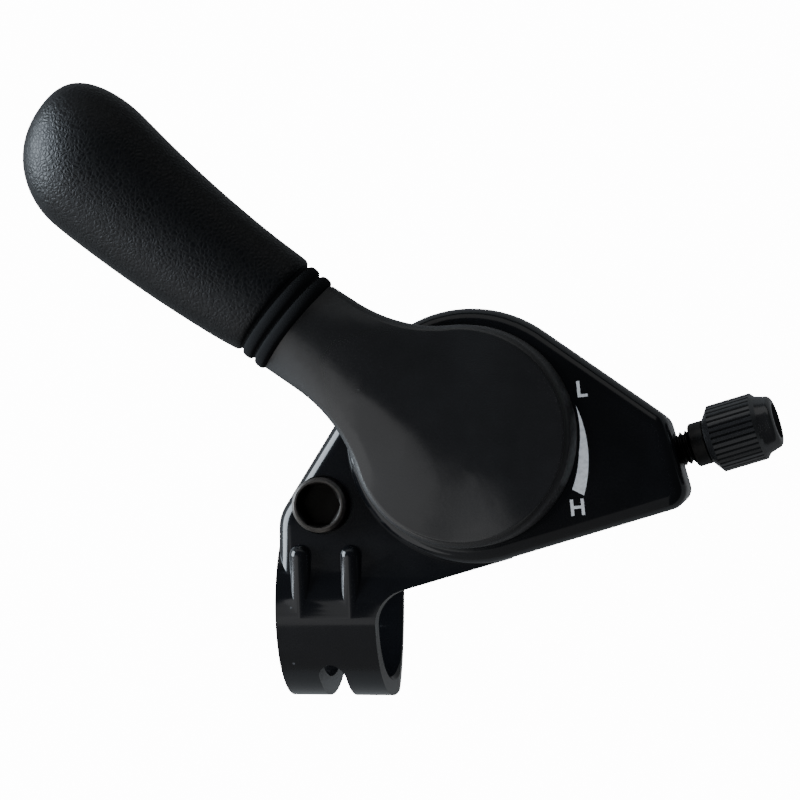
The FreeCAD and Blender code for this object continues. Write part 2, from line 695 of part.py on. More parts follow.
def make_stack():
    """Bush, washers, disc spring, pin and screw on the pivot."""
    hub = ("sizes.hub_x", HUB_Y)
    loose = "(sizes.journal_radius + sizes.washer_gap)"
    turned_body("pivot_bush", ring_corners("sizes.journal_radius + sizes.running_gap", BUSH_RADIUS,
                                           FLOOR_BACK, FLOOR_FRONT), *hub)
    turned_body("thrust_washer", ring_corners(loose, "sizes.thrust_radius", FLOOR_FRONT, DRUM_BACK), *hub)
    friction = ring_corners(loose, "sizes.stack_radius", FRICTION_BACK, FLOOR_BACK)
    turned_body("friction_washer", friction, *hub)
    keyed = new_body("keyed_washer")
    sketch = new_sketch(keyed, "keyed_profile", "XY_Plane", KEYED_BACK)
    circle(sketch, ("0", "0"), "sizes.stack_radius")
    flat = "(sizes.journal_flat / 2)"
    reach = f"sqrt(sizes.journal_radius ^ 2 - {flat} ^ 2)"
    corners = [(reach, f"-{flat}"), (reach, flat), (f"-{reach}", flat), (f"-{reach}", f"-{flat}")]
    outline(sketch, corners, {0: ("sizes.journal_radius", 1, False), 2: ("sizes.journal_radius", 1, False)})
    pad(keyed, "keyed", sketch, "sizes.keyed_thick")
    keyed.Placement = lever_place()
    inner = "(sizes.screw_shank + sizes.washer_gap)"
    turned_body("disc_spring", [
        (inner, SPRING_BACK),
        ("sizes.screw_head", SPRING_BACK),
        ("sizes.stack_radius", f"{KEYED_BACK} - sizes.spring_thick"),
        ("sizes.stack_radius", KEYED_BACK),
        ("sizes.screw_head", f"{SPRING_BACK} + sizes.spring_thick"),
        (inner, f"{SPRING_BACK} + sizes.spring_thick"),
    ], *hub)
    make_stop_pin()
    make_pivot_screw()


def make_stop_pin():
    x, y = round_hub(PIN_CIRCLE, "sizes.pin_angle")
    low = f"({FLOOR_BACK} - sizes.pin_root)"
    high = f"({DRUM_BACK} + sizes.stop_depth - sizes.pin_gap)"
    turned_body("stop_pin", [
        ("0", low),
        ("sizes.pin_radius", low),
        ("sizes.pin_radius", high),
        ("0", high),
    ], x, y)


def make_pivot_screw():
    """Screw from the rear, with a hexagon socket, and the brass insert that it turns into."""
    back = f"({SPRING_BACK} - sizes.screw_head_height)"
    tip = f"({DRUM_FRONT} - 1)"
    screw = turned_body("pivot_screw", [
        ("0", back),
        ("sizes.screw_head - sizes.edge_bevel", back),
        ("sizes.screw_head", f"{back} + sizes.edge_bevel"),
        ("sizes.screw_head", SPRING_BACK),
        ("sizes.screw_shank", SPRING_BACK),
        ("sizes.screw_shank", tip),
        ("0", tip),
    ], "sizes.hub_x", HUB_Y)
    key = new_sketch(screw, "screw_key_profile", "XY_Plane", back)
    hexagon(key, ("0", "0"), "sizes.screw_key")
    pocket(screw, "screw_key", key, "sizes.screw_key_depth", reverse=True)
    low = f"({KEYED_BACK} + sizes.keyed_thick / 2)"
    insert = ring_corners(INSERT_BORE, INSERT_RADIUS, low, DRUM_FRONT)
    turned_body("threaded_insert", insert, "sizes.hub_x", HUB_Y)


def make_drum():
    """Drum with its cable groove, drive hole, pocket for the cable's end and arc for the stop pin."""
    drum = new_body("cable_drum")
    profile = new_sketch(drum, "drum_profile", "XZ_Plane")
    root = f"({PITCH} - sizes.cable_radius)"
    half = "(sizes.cable_radius * 0.8)"
    flare = "(sizes.cable_radius * 1.7)"
    outline(profile, [
        ("0", DRUM_BACK),
        ("sizes.drum_radius", DRUM_BACK),
        ("sizes.drum_radius", f"{CABLE_Z} - {flare}"),
        (root, f"{CABLE_Z} - {half}"),
        (root, f"{CABLE_Z} + {half}"),
        ("sizes.drum_radius", f"{CABLE_Z} + {flare}"),
        ("sizes.drum_radius", DRUM_FRONT),
        ("0", DRUM_FRONT),
    ])
    turned(drum, "drum", profile)
    drive = new_sketch(drum, "drive_profile", "XY_Plane", DRUM_FRONT)
    hexagon(drive, ("0", "0"), "sizes.drive_key + 2 * sizes.drive_gap")
    pocket(drum, "drive", drive, "sizes.drum_width + 1")
    nipple = new_sketch(drum, "nipple_profile", "XY_Plane", DRUM_FRONT)
    reach = "(sizes.drum_radius - sizes.nipple_radius - sizes.nipple_wall)"
    turn = "(sizes.nipple_angle - sizes.lever_angle)"
    circle(nipple, (f"{reach} * cos({turn})", f"{reach} * sin({turn})"), "sizes.nipple_radius")
    pocket(drum, "nipple", nipple, "sizes.nipple_depth")
    arc = new_sketch(drum, "stop_arc_profile", "XY_Plane", DRUM_BACK)
    half = "(sizes.pin_radius + sizes.pin_gap)"
    last = "(sizes.pin_angle - sizes.lever_angle)"
    first = f"({last} - sizes.swing)"
    inner = f"({PIN_CIRCLE} - {half})"
    outer = f"({PIN_CIRCLE} + {half})"
    corners = []
    for radius, angle in ((outer, first), (outer, last), (inner, last), (inner, first)):
        corners.append((f"{radius} * cos({angle})", f"{radius} * sin({angle})"))
    arcs = {0: (outer, 1, False), 1: (half, 1, False), 2: (inner, -1, False), 3: (half, 1, False)}
    outline(arc, corners, arcs)
    pocket(drum, "stop_arc", arc, "sizes.stop_depth", reverse=True)
    drum.Placement = lever_place()


def lever_place():
    """Place of what turns with the lever: the hub, turned to the lever's direction."""
    turn = Rotation(Vector(0, 0, 1), value("sizes.lever_angle"))
    return Placement(Vector(value("sizes.hub_x"), value(HUB_Y), 0), turn)


def grip_place():
    """Place of the grip: the neck's end, turned to the grip's direction."""
    start = lever_place().multVec(Vector(value("sizes.neck_length"), 0, 0))
    return Placement(start, Rotation(Vector(0, 0, 1), value("sizes.grip_angle")))


def plan_wire(height):
    """Outline of cap and neck seen along the pivot, in the lever's own frame."""
    cap = value("sizes.cap_radius")
    half = min(value("sizes.neck_half"), cap * 0.9)
    blend = value("sizes.neck_blend")
    bend = math.radians(value("sizes.grip_angle - sizes.lever_angle"))
    reach = math.sqrt((cap + blend) ** 2 - (half + blend) ** 2)
    share = cap / (cap + blend)
    touch = Vector(reach * share, (half + blend) * share, height)
    end = value("sizes.neck_length")
    shift = half * math.tan(bend)
    upper = [Vector(reach, half, height), Vector(end - shift, half, height)]
    lower = [Vector(reach, -half, height), Vector(end + shift, -half, height)]
    mirror = Vector(touch.x, -touch.y, height)
    turn = math.atan2(half + blend - touch.y, reach - touch.x)
    mid = (turn + math.pi / 2) / 2
    upper_mid = Vector(reach - blend * math.cos(mid), half + blend - blend * math.sin(mid), height)
    lower_mid = Vector(upper_mid.x, -upper_mid.y, height)
    edges = [
        Part.LineSegment(lower[0], lower[1]).toShape(),
        Part.LineSegment(lower[1], upper[1]).toShape(),
        Part.LineSegment(upper[1], upper[0]).toShape(),
        Part.Arc(upper[0], upper_mid, touch).toShape(),
        Part.Arc(touch, Vector(-cap, 0, height), mirror).toShape(),
        Part.Arc(mirror, lower_mid, lower[0]).toShape(),
    ]
    return Part.Wire(edges)


def crown_section(u, apex, drop, far):
    """Cross section of what is cut away over or under the lever: a parabola closed by three lines."""
    width = value("sizes.cap_radius") + 3
    edge = apex + drop * width ** 2
    poles = [Vector(u, -width, edge), Vector(u, 0, 2 * apex - edge), Vector(u, width, edge)]
    curve = Part.BezierCurve()
    curve.setPoles(poles)
    corners = [poles[2], Vector(u, width, far), Vector(u, -width, far), poles[0]]
    edges = [curve.toShape()]
    edges += [Part.LineSegment(a, b).toShape() for a, b in zip(corners, corners[1:])]
    return Part.Wire(edges)


def crown_cut(stations, far):
    return Part.makeLoft([crown_section(u, apex, drop, far) for u, apex, drop in stations], True, False)


def lever_blank():
    """Cap and neck: a plate of the plan's shape, crowned above and, along the neck, below."""
    under = value(DECK_FRONT) + value("sizes.lever_gap")
    top = under + value("sizes.cap_height")
    cap = value("sizes.cap_radius")
    end = value("sizes.neck_length")
    neck_top = under + value("sizes.neck_height")
    half = value("sizes.neck_half")
    flat = value("sizes.cap_crown") / cap ** 2
    steep = value("sizes.neck_crown") / half ** 2
    blank = Part.Face(plan_wire(under)).extrude(Vector(0, 0, value("sizes.neck_height") + 2))
    mid = cap + (end - cap) * 0.45
    above = crown_cut([
        (-cap - 3, top - 0.5, -flat),
        (-cap * 0.3, top, -flat),
        (cap * 0.45, top + (neck_top - top) * 0.12, -flat * 1.6),
        (mid, top + (neck_top - top) * 0.65, -steep * 0.55),
        (end + 4, neck_top + 0.2, -steep),
    ], neck_top + 40)
    below = crown_cut([
        (cap * 0.9, under - 0.2, 0.0),
        (mid, under - 0.02, steep * 0.35),
        (end + 4, under, steep * 0.9),
    ], under - 40)
    blank = blank.cut(above).cut(below)
    rim = [edge for edge in blank.Edges if is_rim(edge, under, end)]
    return blank.makeFillet(value("sizes.cap_edge"), rim)


def is_rim(edge, under, end):
    """Whether an edge runs round the crowned top and not along the neck's cut end."""
    middle = edge.valueAt((edge.FirstParameter + edge.LastParameter) / 2)
    box = edge.BoundBox
    upright = box.ZLength > 0.8 * value("sizes.cap_height")
    at_end = box.XMin > end - value("sizes.neck_half") * 0.2
    return middle.z > under + 2 and not upright and not at_end


def tube(radius, low, high):
    return Part.makeCylinder(radius, high - low, Vector(0, 0, low))


def hex_bar(key, low, high):
    reach = key / math.sqrt(3)
    corners = [Vector(reach * math.cos(math.radians(60 * i)), reach * math.sin(math.radians(60 * i)), low)
               for i in range(7)]
    return Part.Face(Part.makePolygon(corners)).extrude(Vector(0, 0, high - low))


def spigot_shape(gap="0"):
    """Round bar inside the grip, in the grip's own frame, or the hole for it."""
    radius = value(f"sizes.spigot_radius + {gap}")
    length = value(f"sizes.spigot_length + {gap}")
    return Part.makeCylinder(radius, length + 0.5, Vector(-0.5, 0, grip_height()), Vector(1, 0, 0))


def grip_height():
    return value(DECK_FRONT) + value("sizes.lever_gap") + value("sizes.neck_height") / 2


def make_lever():
    """Cap, neck, skirt, pivot boss with its drive and flats, and the bar inside the grip."""
    under = value(DECK_FRONT) + value("sizes.lever_gap")
    top = under + value("sizes.cap_height")
    skirt = value("sizes.recess_radius") - value("sizes.skirt_gap")
    hollow = skirt - value("sizes.skirt_wall")
    low = value(RECESS_FLOOR) + value("sizes.lever_gap")
    drum_front = value(DRUM_FRONT)
    drum_back = value(DRUM_BACK)
    shape = lever_blank()
    shape = shape.fuse(tube(skirt, low, under + 1))
    shape = shape.cut(tube(hollow, low - 1, top - value("sizes.cap_wall")))
    shape = shape.fuse(tube(value("sizes.boss_core"), drum_front, top - 1))
    shape = shape.fuse(hex_bar(value("sizes.drive_key"), drum_back, drum_front + 1))
    shoulder = value(FRICTION_BACK) + 0.2
    shape = shape.fuse(tube(value("sizes.journal_radius"), shoulder, drum_back + 1))
    foot = value(KEYED_BACK) + value("sizes.keyed_thick") * 0.1
    flat = value("sizes.journal_flat")
    radius = value("sizes.journal_radius")
    bar = Part.makeBox(4 * radius, flat, shoulder - foot + 1, Vector(-2 * radius, -flat / 2, foot))
    shape = shape.fuse(tube(radius, foot, shoulder + 1).common(bar))
    insert = value(f"{KEYED_BACK} + sizes.keyed_thick / 2")
    shape = shape.cut(tube(value(INSERT_RADIUS), insert, drum_front))
    shape = shape.cut(tube(value(INSERT_BORE), foot - 1, insert + 1))
    spigot = spigot_shape()
    spigot.Placement = lever_place().inverse().multiply(grip_place())
    shape = shape.fuse(spigot).removeSplitter()
    lever = doc.addObject("Part::Feature", "lever")
    lever.Shape = shape
    lever.Placement = lever_place()


def oval(g, half, depth, offset=0.0):
    """Oval across the grip at g along it; its longer axis lies level."""
    centre = Vector(g, offset, grip_height())
    major, minor = (half, depth) if half > depth else (depth, half)
    side, up = (Vector(0, 1, 0), Vector(0, 0, 1)) if half > depth else (Vector(0, 0, 1), Vector(0, 1, 0))
    curve = Part.Ellipse(centre + side * major, centre + up * minor, centre)
    return Part.Wire([curve.toShape()])


def grip_body():
    """Flared and slightly bowed sleeve from behind the rings to its rounded tip."""
    start = 2 * (value("sizes.ring_width") + value("sizes.ring_groove"))
    half = value("sizes.grip_half")
    depth = value("sizes.grip_depth")
    flare = value("sizes.grip_flare")
    flare_depth = value("sizes.grip_flare_depth")
    length = value("sizes.grip_length")
    dome = value("sizes.grip_dome")
    middle = (start + length) / 2
    round_from = length - dome

    def bow(g):
        return value("sizes.grip_bow") * (1 - ((g - middle) / (length - middle)) ** 2)

    sections = []
    for share in (0.0, 0.2, 0.4, 0.6, 0.8):
        g = start + (round_from - start) * share
        swell = share ** 1.1
        sections.append(oval(g, half + (flare - half) * swell, depth + (flare_depth - depth) * swell, bow(g)))
    for degrees in (0, 15, 29, 42, 54, 65, 75, 84):
        turn = math.radians(degrees)
        g = round_from + dome * math.sin(turn)
        shrink = math.cos(turn) ** 0.8
        lean = value("sizes.grip_lean") * (1 - math.cos(turn))
        sections.append(oval(g, flare * shrink, flare_depth * shrink, bow(g) - lean))
    return Part.makeLoft(sections, True, True)


def grip_ring(start):
    """One rounded ring round the grip's foot."""
    width = value("sizes.ring_width")
    half = value("sizes.grip_half - sizes.ring_inset")
    depth = value("sizes.grip_depth - sizes.ring_inset")
    bevel = value("sizes.ring_bevel")
    parts = []
    for share, drop in ((0.0, bevel), (0.2, 0.0), (0.8, 0.0), (1.0, bevel)):
        parts.append(oval(start + width * share, half - drop, depth - drop))
    return Part.makeLoft(parts, True, True)


def make_grip():
    width = value("sizes.ring_width")
    groove = value("sizes.ring_groove")
    deep = value("sizes.ring_inset + sizes.ring_depth")
    half = value("sizes.grip_half") - deep
    depth = value("sizes.grip_depth") - deep
    core_end = 2 * (width + groove) + 1
    core = Part.makeLoft([oval(0, half, depth), oval(core_end, half, depth)], True, True)
    shape = core.fuse(grip_body())
    shape = shape.fuse(grip_ring(groove * 0.5))
    shape = shape.fuse(grip_ring(groove * 1.5 + width))
    shape = shape.cut(spigot_shape("sizes.spigot_gap"))
    grip = doc.addObject("Part::Feature", "grip_sleeve")
    grip.Shape = shape.removeSplitter()
    grip.Placement = grip_place()


def place_on_cable(body):
    """Lay a body's X axis on the cable's line, with its origin on the snout's end."""
    x, y = along_cable("sizes.snout_length", f"-{PITCH}")
    turn = Rotation(Vector(0, 0, 1), value("sizes.cable_angle"))
    body.Placement = Placement(Vector(value(x), value(y), value(CABLE_Z)), turn)
    body.setExpression("Placement.Base.x", x)
    body.setExpression("Placement.Base.y", y)
    body.setExpression("Placement.Base.z", CABLE_Z)
    body.setExpression("Placement.Rotation.Angle", "sizes.cable_angle")


def make_adjuster():
    """Threaded tube with its collar, and the knurled barrel that takes the cable's housing."""
    collar = "sizes.thread_shown"
    cone = f"({collar} + sizes.collar_length)"
    knurl = f"({cone} + sizes.cone_length)"
    knurl_end = f"({knurl} + sizes.knurl_length)"
    nose = f"({knurl_end} + sizes.nose_step)"
    tip = f"({nose} + sizes.nose_length)"
    socket = f"({tip} - sizes.socket_depth)"
    screw = new_body("adjuster_screw")
    profile = new_sketch(screw, "adjuster_screw_profile", "XY_Plane")
    start = "(1 - sizes.thread_depth)"
    outline(profile, [
        (start, "sizes.cable_hole"),
        (start, "sizes.thread_radius - sizes.edge_bevel"),
        (f"{start} + sizes.edge_bevel", "sizes.thread_radius"),
        (collar, "sizes.thread_radius"),
        (collar, "sizes.collar_radius"),
        (cone, "sizes.collar_radius"),
        (cone, "sizes.cable_hole"),
    ])
    turned(screw, "adjuster_screw_turned", profile, "H_Axis")
    place_on_cable(screw)
    barrel = new_body("adjuster_barrel")
    profile = new_sketch(barrel, "barrel_profile", "XY_Plane")
    low_nose = "(sizes.nose_radius - sizes.nose_taper)"
    outline(profile, [
        (cone, "sizes.cable_hole"),
        (cone, "sizes.collar_radius + 0.1"),
        (knurl, "sizes.knurl_radius"),
        (knurl_end, "sizes.knurl_radius"),
        (nose, "sizes.nose_radius"),
        (f"{tip} - sizes.nose_round", low_nose),
        (tip, f"{low_nose} - sizes.nose_round"),
        (tip, "sizes.socket_radius"),
        (socket, "sizes.socket_radius"),
        (socket, "sizes.cable_hole"),
    ], {5: ("sizes.nose_round", -1, False)})
    turned(barrel, "barrel_turned", profile, "H_Axis")
    groove = new_sketch(barrel, "knurl_profile", "YZ_Plane", knurl)
    half = "(pi * sizes.knurl_radius / sizes.knurl_count * sizes.knurl_share)"
    over = "(sizes.knurl_radius + 0.2)"
    deep = "(sizes.knurl_radius - sizes.knurl_depth)"
    outline(groove, [(f"-{half}", over), ("0", deep), (half, over)])
    cut = pocket(barrel, "knurl_cut", groove, "sizes.knurl_length", reverse=True)
    pattern = barrel.newObject("PartDesign::PolarPattern", "knurl")
    pattern.Originals = [cut]
    pattern.Axis = (origin_plane(barrel, "X_Axis"), [""])
    pattern.Angle = 360
    pattern.Occurrences = int(value("sizes.knurl_count"))
    barrel.Tip = pattern
    doc.recompute()
    place_on_cable(barrel)


def export_parts():
    """Check every object and write one STEP file for each sub-part."""
    doc.recompute()
    for item in doc.Objects:
        if "Invalid" in item.State or "Error" in item.State:
            raise RuntimeError("not rebuilt: " + item.Name)
    os.makedirs("parts", exist_ok=True)
    for item in doc.Objects:
        is_part = item.TypeId in ("PartDesign::Body", "Part::Feature")
        if not is_part or item.getParentGeoFeatureGroup():
            continue
        if item.Shape.isNull() or not item.Shape.isValid():
            raise RuntimeError("not a sound shape: " + item.Name)
        item.Shape.exportStep("parts/" + item.Label + ".step")


fill_sheet()
make_housing()
make_clamp_bolt()
make_stack()
make_drum()
make_lever()
make_grip()
make_adjuster()
export_parts()
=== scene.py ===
import json
import math

import bmesh
import bpy
from bpy.props import FloatProperty, FloatVectorProperty, IntProperty, PointerProperty
from mathutils import Matrix, Vector


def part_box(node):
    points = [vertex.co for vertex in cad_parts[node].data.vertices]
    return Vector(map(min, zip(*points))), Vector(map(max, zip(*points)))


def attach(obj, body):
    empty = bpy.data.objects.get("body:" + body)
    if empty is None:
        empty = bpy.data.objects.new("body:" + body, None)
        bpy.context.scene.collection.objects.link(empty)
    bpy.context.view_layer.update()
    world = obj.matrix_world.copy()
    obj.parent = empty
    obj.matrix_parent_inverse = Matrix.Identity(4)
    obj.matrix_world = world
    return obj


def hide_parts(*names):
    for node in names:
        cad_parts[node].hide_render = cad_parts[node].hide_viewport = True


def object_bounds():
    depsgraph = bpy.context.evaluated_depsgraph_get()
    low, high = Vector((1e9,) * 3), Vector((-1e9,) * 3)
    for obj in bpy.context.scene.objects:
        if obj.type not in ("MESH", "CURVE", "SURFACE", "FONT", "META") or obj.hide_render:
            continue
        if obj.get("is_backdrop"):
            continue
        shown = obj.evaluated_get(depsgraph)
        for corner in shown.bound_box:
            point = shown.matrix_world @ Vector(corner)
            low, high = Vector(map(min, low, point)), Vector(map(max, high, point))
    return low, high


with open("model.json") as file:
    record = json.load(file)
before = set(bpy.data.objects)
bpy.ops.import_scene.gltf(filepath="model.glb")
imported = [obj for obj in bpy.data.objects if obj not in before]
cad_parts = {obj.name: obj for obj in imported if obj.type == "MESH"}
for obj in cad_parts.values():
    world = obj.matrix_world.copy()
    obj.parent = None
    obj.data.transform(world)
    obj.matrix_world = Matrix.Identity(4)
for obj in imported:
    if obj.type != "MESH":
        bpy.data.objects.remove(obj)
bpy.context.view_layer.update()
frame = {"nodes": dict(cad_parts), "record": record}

bl_info = {
    "name": "Thumb Shifter Dresser",
    "version": (1, 0, 0),
    "blender": (4, 5, 0),
    "location": "3D View > Sidebar > Shifter",
    "description": "Dresses the packed thumb shifter with its grip, marks, thread, finishes and studio",
    "category": "Object",
}

NODES = frame["nodes"]
JOINTS = {joint["name"]: joint for joint in frame["record"]["behaviour"]["joints"]}
HUB = Vector(JOINTS["lever_swing"]["pos_m"])
CABLE_START = Vector(JOINTS["adjuster_turn"]["pos_m"])
CABLE_AXIS = Vector(JOINTS["adjuster_turn"]["axis"])
MM = 0.001

# Points closer than these become one: in a modelled piece, and where surfaces are joined up.
DOUBLES = 1e-7
WELD = 1e-6

# Edges turned by more than this many degrees stay crisp on each kind of piece.
HOUSING_CREASE = 32
LEVER_CREASE = 40
SMALL_CREASE = 30
GRIP_CREASE = 50
THREAD_CREASE = 40

# Z of the normal at which a face stops being an upright side, and at which it is a full top face.
SIDE_TO_TOP = (0.70, 0.985)
# Distances from the pivot at which the cap starts to turn into the neck, and at which it is all neck.
CAP_TO_NECK = (14.0 * MM, 25.0 * MM)
# Distance from the bolt's axis at which its socket, painted dark as shade, ends and its rim starts.
BOLT_RIM = 3.15 * MM

# Depth of the sleeve's first edge below its surface, in millimetres.
FOOT_DROP = 0.9
# One ring of the grip: share of its width, and depth below the sleeve's surface in millimetres.
RING_PROFILE = ((0.0, 0.75), (0.03, 0.40), (0.16, 0.20), (0.5, 0.12),
                (0.84, 0.20), (0.97, 0.40), (1.0, 0.75))
# Shoulder behind the rings: distance from its start and depth below the surface, both in millimetres.
SHOULDER_PROFILE = ((0.0, 0.75), (0.06, 0.40), (0.35, 0.12), (0.9, 0.0))
RINGS = 2
GRIP_SIDES = 72
# Ovals along the grip's body, and the power that makes it swell a little late.
BODY_STEPS = 9
BODY_SWELL = 1.1
# Ovals of the round tip, in degrees up its dome, and the power that makes it fuller than a ball.
TIP_TURNS = (0, 10, 20, 30, 40, 49, 58, 66, 74, 81, 86)
TIP_FULLNESS = 0.8

# Thickness of the printed ink, its height over the face, and a capital's share of the letter size.
INK_DEPTH = 0.01 * MM
INK_LIFT = 0.02 * MM
CAPITAL_SHARE = 0.7

WINDOW_TINT = (0.80, 0.90, 1.0)
SKY_TINT = (0.92, 0.96, 1.0)
WHITE = (1.0, 1.0, 1.0)


# Selecting, settling and tying of pieces

def deselect():
    """Leave edit mode and select nothing, so that the next operator acts on its own piece only."""
    if bpy.context.object and bpy.context.object.mode != "OBJECT":
        bpy.ops.object.mode_set(mode="OBJECT")
    bpy.ops.object.select_all(action="DESELECT")


def pick(obj):
    """Select one object alone and make it the active one."""
    deselect()
    obj.select_set(True)
    bpy.context.view_layer.objects.active = obj


def settle(obj, place):
    """Put a piece where it belongs and leave its object at the origin, unturned and unscaled."""
    pick(obj)
    obj.matrix_world = place
    bpy.ops.object.transform_apply(location=True, rotation=True, scale=True)


def outward(obj):
    """Merge doubles and turn every face outwards."""
    pick(obj)
    bpy.ops.object.mode_set(mode="EDIT")
    bpy.ops.mesh.select_all(action="SELECT")
    bpy.ops.mesh.remove_doubles(threshold=DOUBLES)
    bpy.ops.mesh.normals_make_consistent(inside=False)
    bpy.ops.object.mode_set(mode="OBJECT")


def smooth(obj, degrees):
    """Shade a piece smooth, apart from edges that turn by more than some degrees."""
    pick(obj)
    bpy.ops.object.shade_smooth_by_angle(angle=math.radians(degrees), keep_sharp_edges=True)


def apply_modifier(obj, kind, name, **settings):
    """Add one modifier, set it and apply it."""
    pick(obj)
    modifier = obj.modifiers.new(name, kind)
    for key, setting in settings.items():
        setattr(modifier, key, setting)
    bpy.ops.object.modifier_apply(modifier=modifier.name)


def finish(obj, material, body, replaced=()):
    """Give a piece its finish and tie it to the CAD body that it moves with."""
    obj.data.materials.clear()
    obj.data.materials.append(material)
    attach(obj, body)
    if replaced:
        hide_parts(*replaced)


def around_hub(radius, turn, height):
    """Point at a distance and a direction from the pivot."""
    return Vector((HUB.x + radius * math.cos(turn), HUB.y + radius * math.sin(turn), height))


def shade(tone, factor):
    """The same colour, lighter or darker."""
    return tuple(channel * factor for channel in tone)


# Shared effects

class Shader:
    """Short way to place and link the nodes of one material or group."""

    def __init__(self, tree):
        self.tree = tree

    def node(self, kind, **settings):
        """New node with each setting given to its option or socket of that name."""
        made = self.tree.nodes.new(kind)
        for name, setting in settings.items():
            if hasattr(made, name):
                setattr(made, name, setting)
            else:
                made.inputs[name.replace("_", " ")].default_value = setting
        return made

    def link(self, source, target):
        self.tree.links.new(source, target)

    def ramp(self, factor, low, high, out_low=0.0, out_high=1.0):
        """Map low..high of a factor to two values, held at both ends."""
        node = self.node("ShaderNodeMapRange", clamp=True)
        node.inputs["From Min"].default_value = low
        node.inputs["From Max"].default_value = high
        node.inputs["To Min"].default_value = out_low
        node.inputs["To Max"].default_value = out_high
        self.link(factor, node.inputs["Value"])
        return node.outputs["Result"]

    def mix(self, factor, first, second):
        """Blend of two colours, each a socket or a constant."""
        node = self.node("ShaderNodeMix", data_type="RGBA")
        self.link(factor, node.inputs[0])
        for index, colour in ((6, first), (7, second)):
            if isinstance(colour, bpy.types.NodeSocket):
                self.link(colour, node.inputs[index])
            else:
                node.inputs[index].default_value = (*colour, 1.0)
        return node.outputs[2]

    def maths(self, operation, first, second=0.0):
        """Arithmetic on a socket and a second term, which is a socket or a constant."""
        node = self.node("ShaderNodeMath", operation=operation)
        self.link(first, node.inputs[0])
        if isinstance(second, bpy.types.NodeSocket):
            self.link(second, node.inputs[1])
        else:
            node.inputs[1].default_value = second
        return node.outputs[0]

    def coords(self):
        return self.node("ShaderNodeTexCoord").outputs["Object"]

    def levelness(self):
        """How far a face lies level, from 0 for upright to 1 for flat."""
        facing = self.node("ShaderNodeSeparateXYZ")
        self.link(self.node("ShaderNodeTexCoord").outputs["Normal"], facing.inputs[0])
        return self.maths("ABSOLUTE", facing.outputs["Z"])

    def centred(self, place, turn=0.0):
        """Coordinates measured from a place, turned about Z."""
        node = self.node("ShaderNodeMapping", vector_type="TEXTURE")
        node.inputs["Location"].default_value = place
        node.inputs["Rotation"].default_value = (0.0, 0.0, turn)
        self.link(self.coords(), node.inputs["Vector"])
        return node.outputs["Vector"]

    def radius(self, axis):
        """Distance from an axis along Z."""
        flat = self.node("ShaderNodeVectorMath", operation="MULTIPLY")
        flat.inputs[1].default_value = (1.0, 1.0, 0.0)
        self.link(self.centred(axis), flat.inputs[0])
        reach = self.node("ShaderNodeVectorMath", operation="LENGTH")
        self.link(flat.outputs["Vector"], reach.inputs[0])
        return reach.outputs["Value"]

    def along(self, start, turn):
        """Distance from a place along a direction in the XY plane."""
        parts = self.node("ShaderNodeSeparateXYZ")
        self.link(self.centred(start, turn), parts.inputs[0])
        return parts.outputs["X"]

    def noise(self, vector, scale, detail=4.0, roughness=0.55):
        node = self.node("ShaderNodeTexNoise", Scale=scale, Detail=detail, Roughness=roughness)
        self.link(vector, node.inputs["Vector"])
        return node.outputs["Fac"]

    def cells(self, vector, scale, feature):
        node = self.node("ShaderNodeTexVoronoi", feature=feature, Scale=scale)
        self.link(vector, node.inputs["Vector"])
        return node.outputs["Distance"]

    def bump(self, height, strength, distance):
        node = self.node("ShaderNodeBump", Strength=strength, Distance=distance)
        self.link(height, node.inputs["Height"])
        return node.outputs["Normal"]


def new_group(name, inputs, outputs):
    """Empty shader group with float inputs and outputs: its helper, its entry and its exit."""
    group = bpy.data.node_groups.new(name, "ShaderNodeTree")
    for label, default in inputs:
        socket = group.interface.new_socket(label, in_out="INPUT", socket_type="NodeSocketFloat")
        socket.default_value = default
    for label in outputs:
        group.interface.new_socket(label, in_out="OUTPUT", socket_type="NodeSocketFloat")
    entry = group.nodes.new("NodeGroupInput")
    leave = group.nodes.new("NodeGroupOutput")
    return Shader(group), entry.outputs, leave.inputs


def moulded_skin_group():
    """Faint waviness, fine texture and dust of a moulded surface."""
    wave_share = 1.6
    shader, entry, leave = new_group(
        "moulded_skin", [("Grain Scale", 900.0), ("Dust Scale", 420.0)], ["Height", "Mottle", "Dust"])
    place = shader.coords()
    fine = shader.node("ShaderNodeTexNoise", Detail=3.0, Roughness=0.5)
    shader.link(place, fine.inputs["Vector"])
    shader.link(entry["Grain Scale"], fine.inputs["Scale"])
    waves = shader.maths("MULTIPLY", shader.noise(place, scale=95.0, detail=2.0), wave_share)
    shader.link(shader.maths("ADD", waves, fine.outputs["Fac"]), leave["Height"])
    shader.link(shader.noise(place, scale=140.0, detail=5.0, roughness=0.6), leave["Mottle"])
    specks = shader.node("ShaderNodeTexVoronoi", feature="F1", Randomness=1.0)
    shader.link(place, specks.inputs["Vector"])
    shader.link(entry["Dust Scale"], specks.inputs["Scale"])
    spot = shader.ramp(specks.outputs["Distance"], 0.05, 0.11, 1.0, 0.0)
    rare = shader.ramp(shader.noise(place, scale=260.0, detail=2.0), 0.60, 0.68)
    shader.link(shader.maths("MULTIPLY", spot, rare), leave["Dust"])


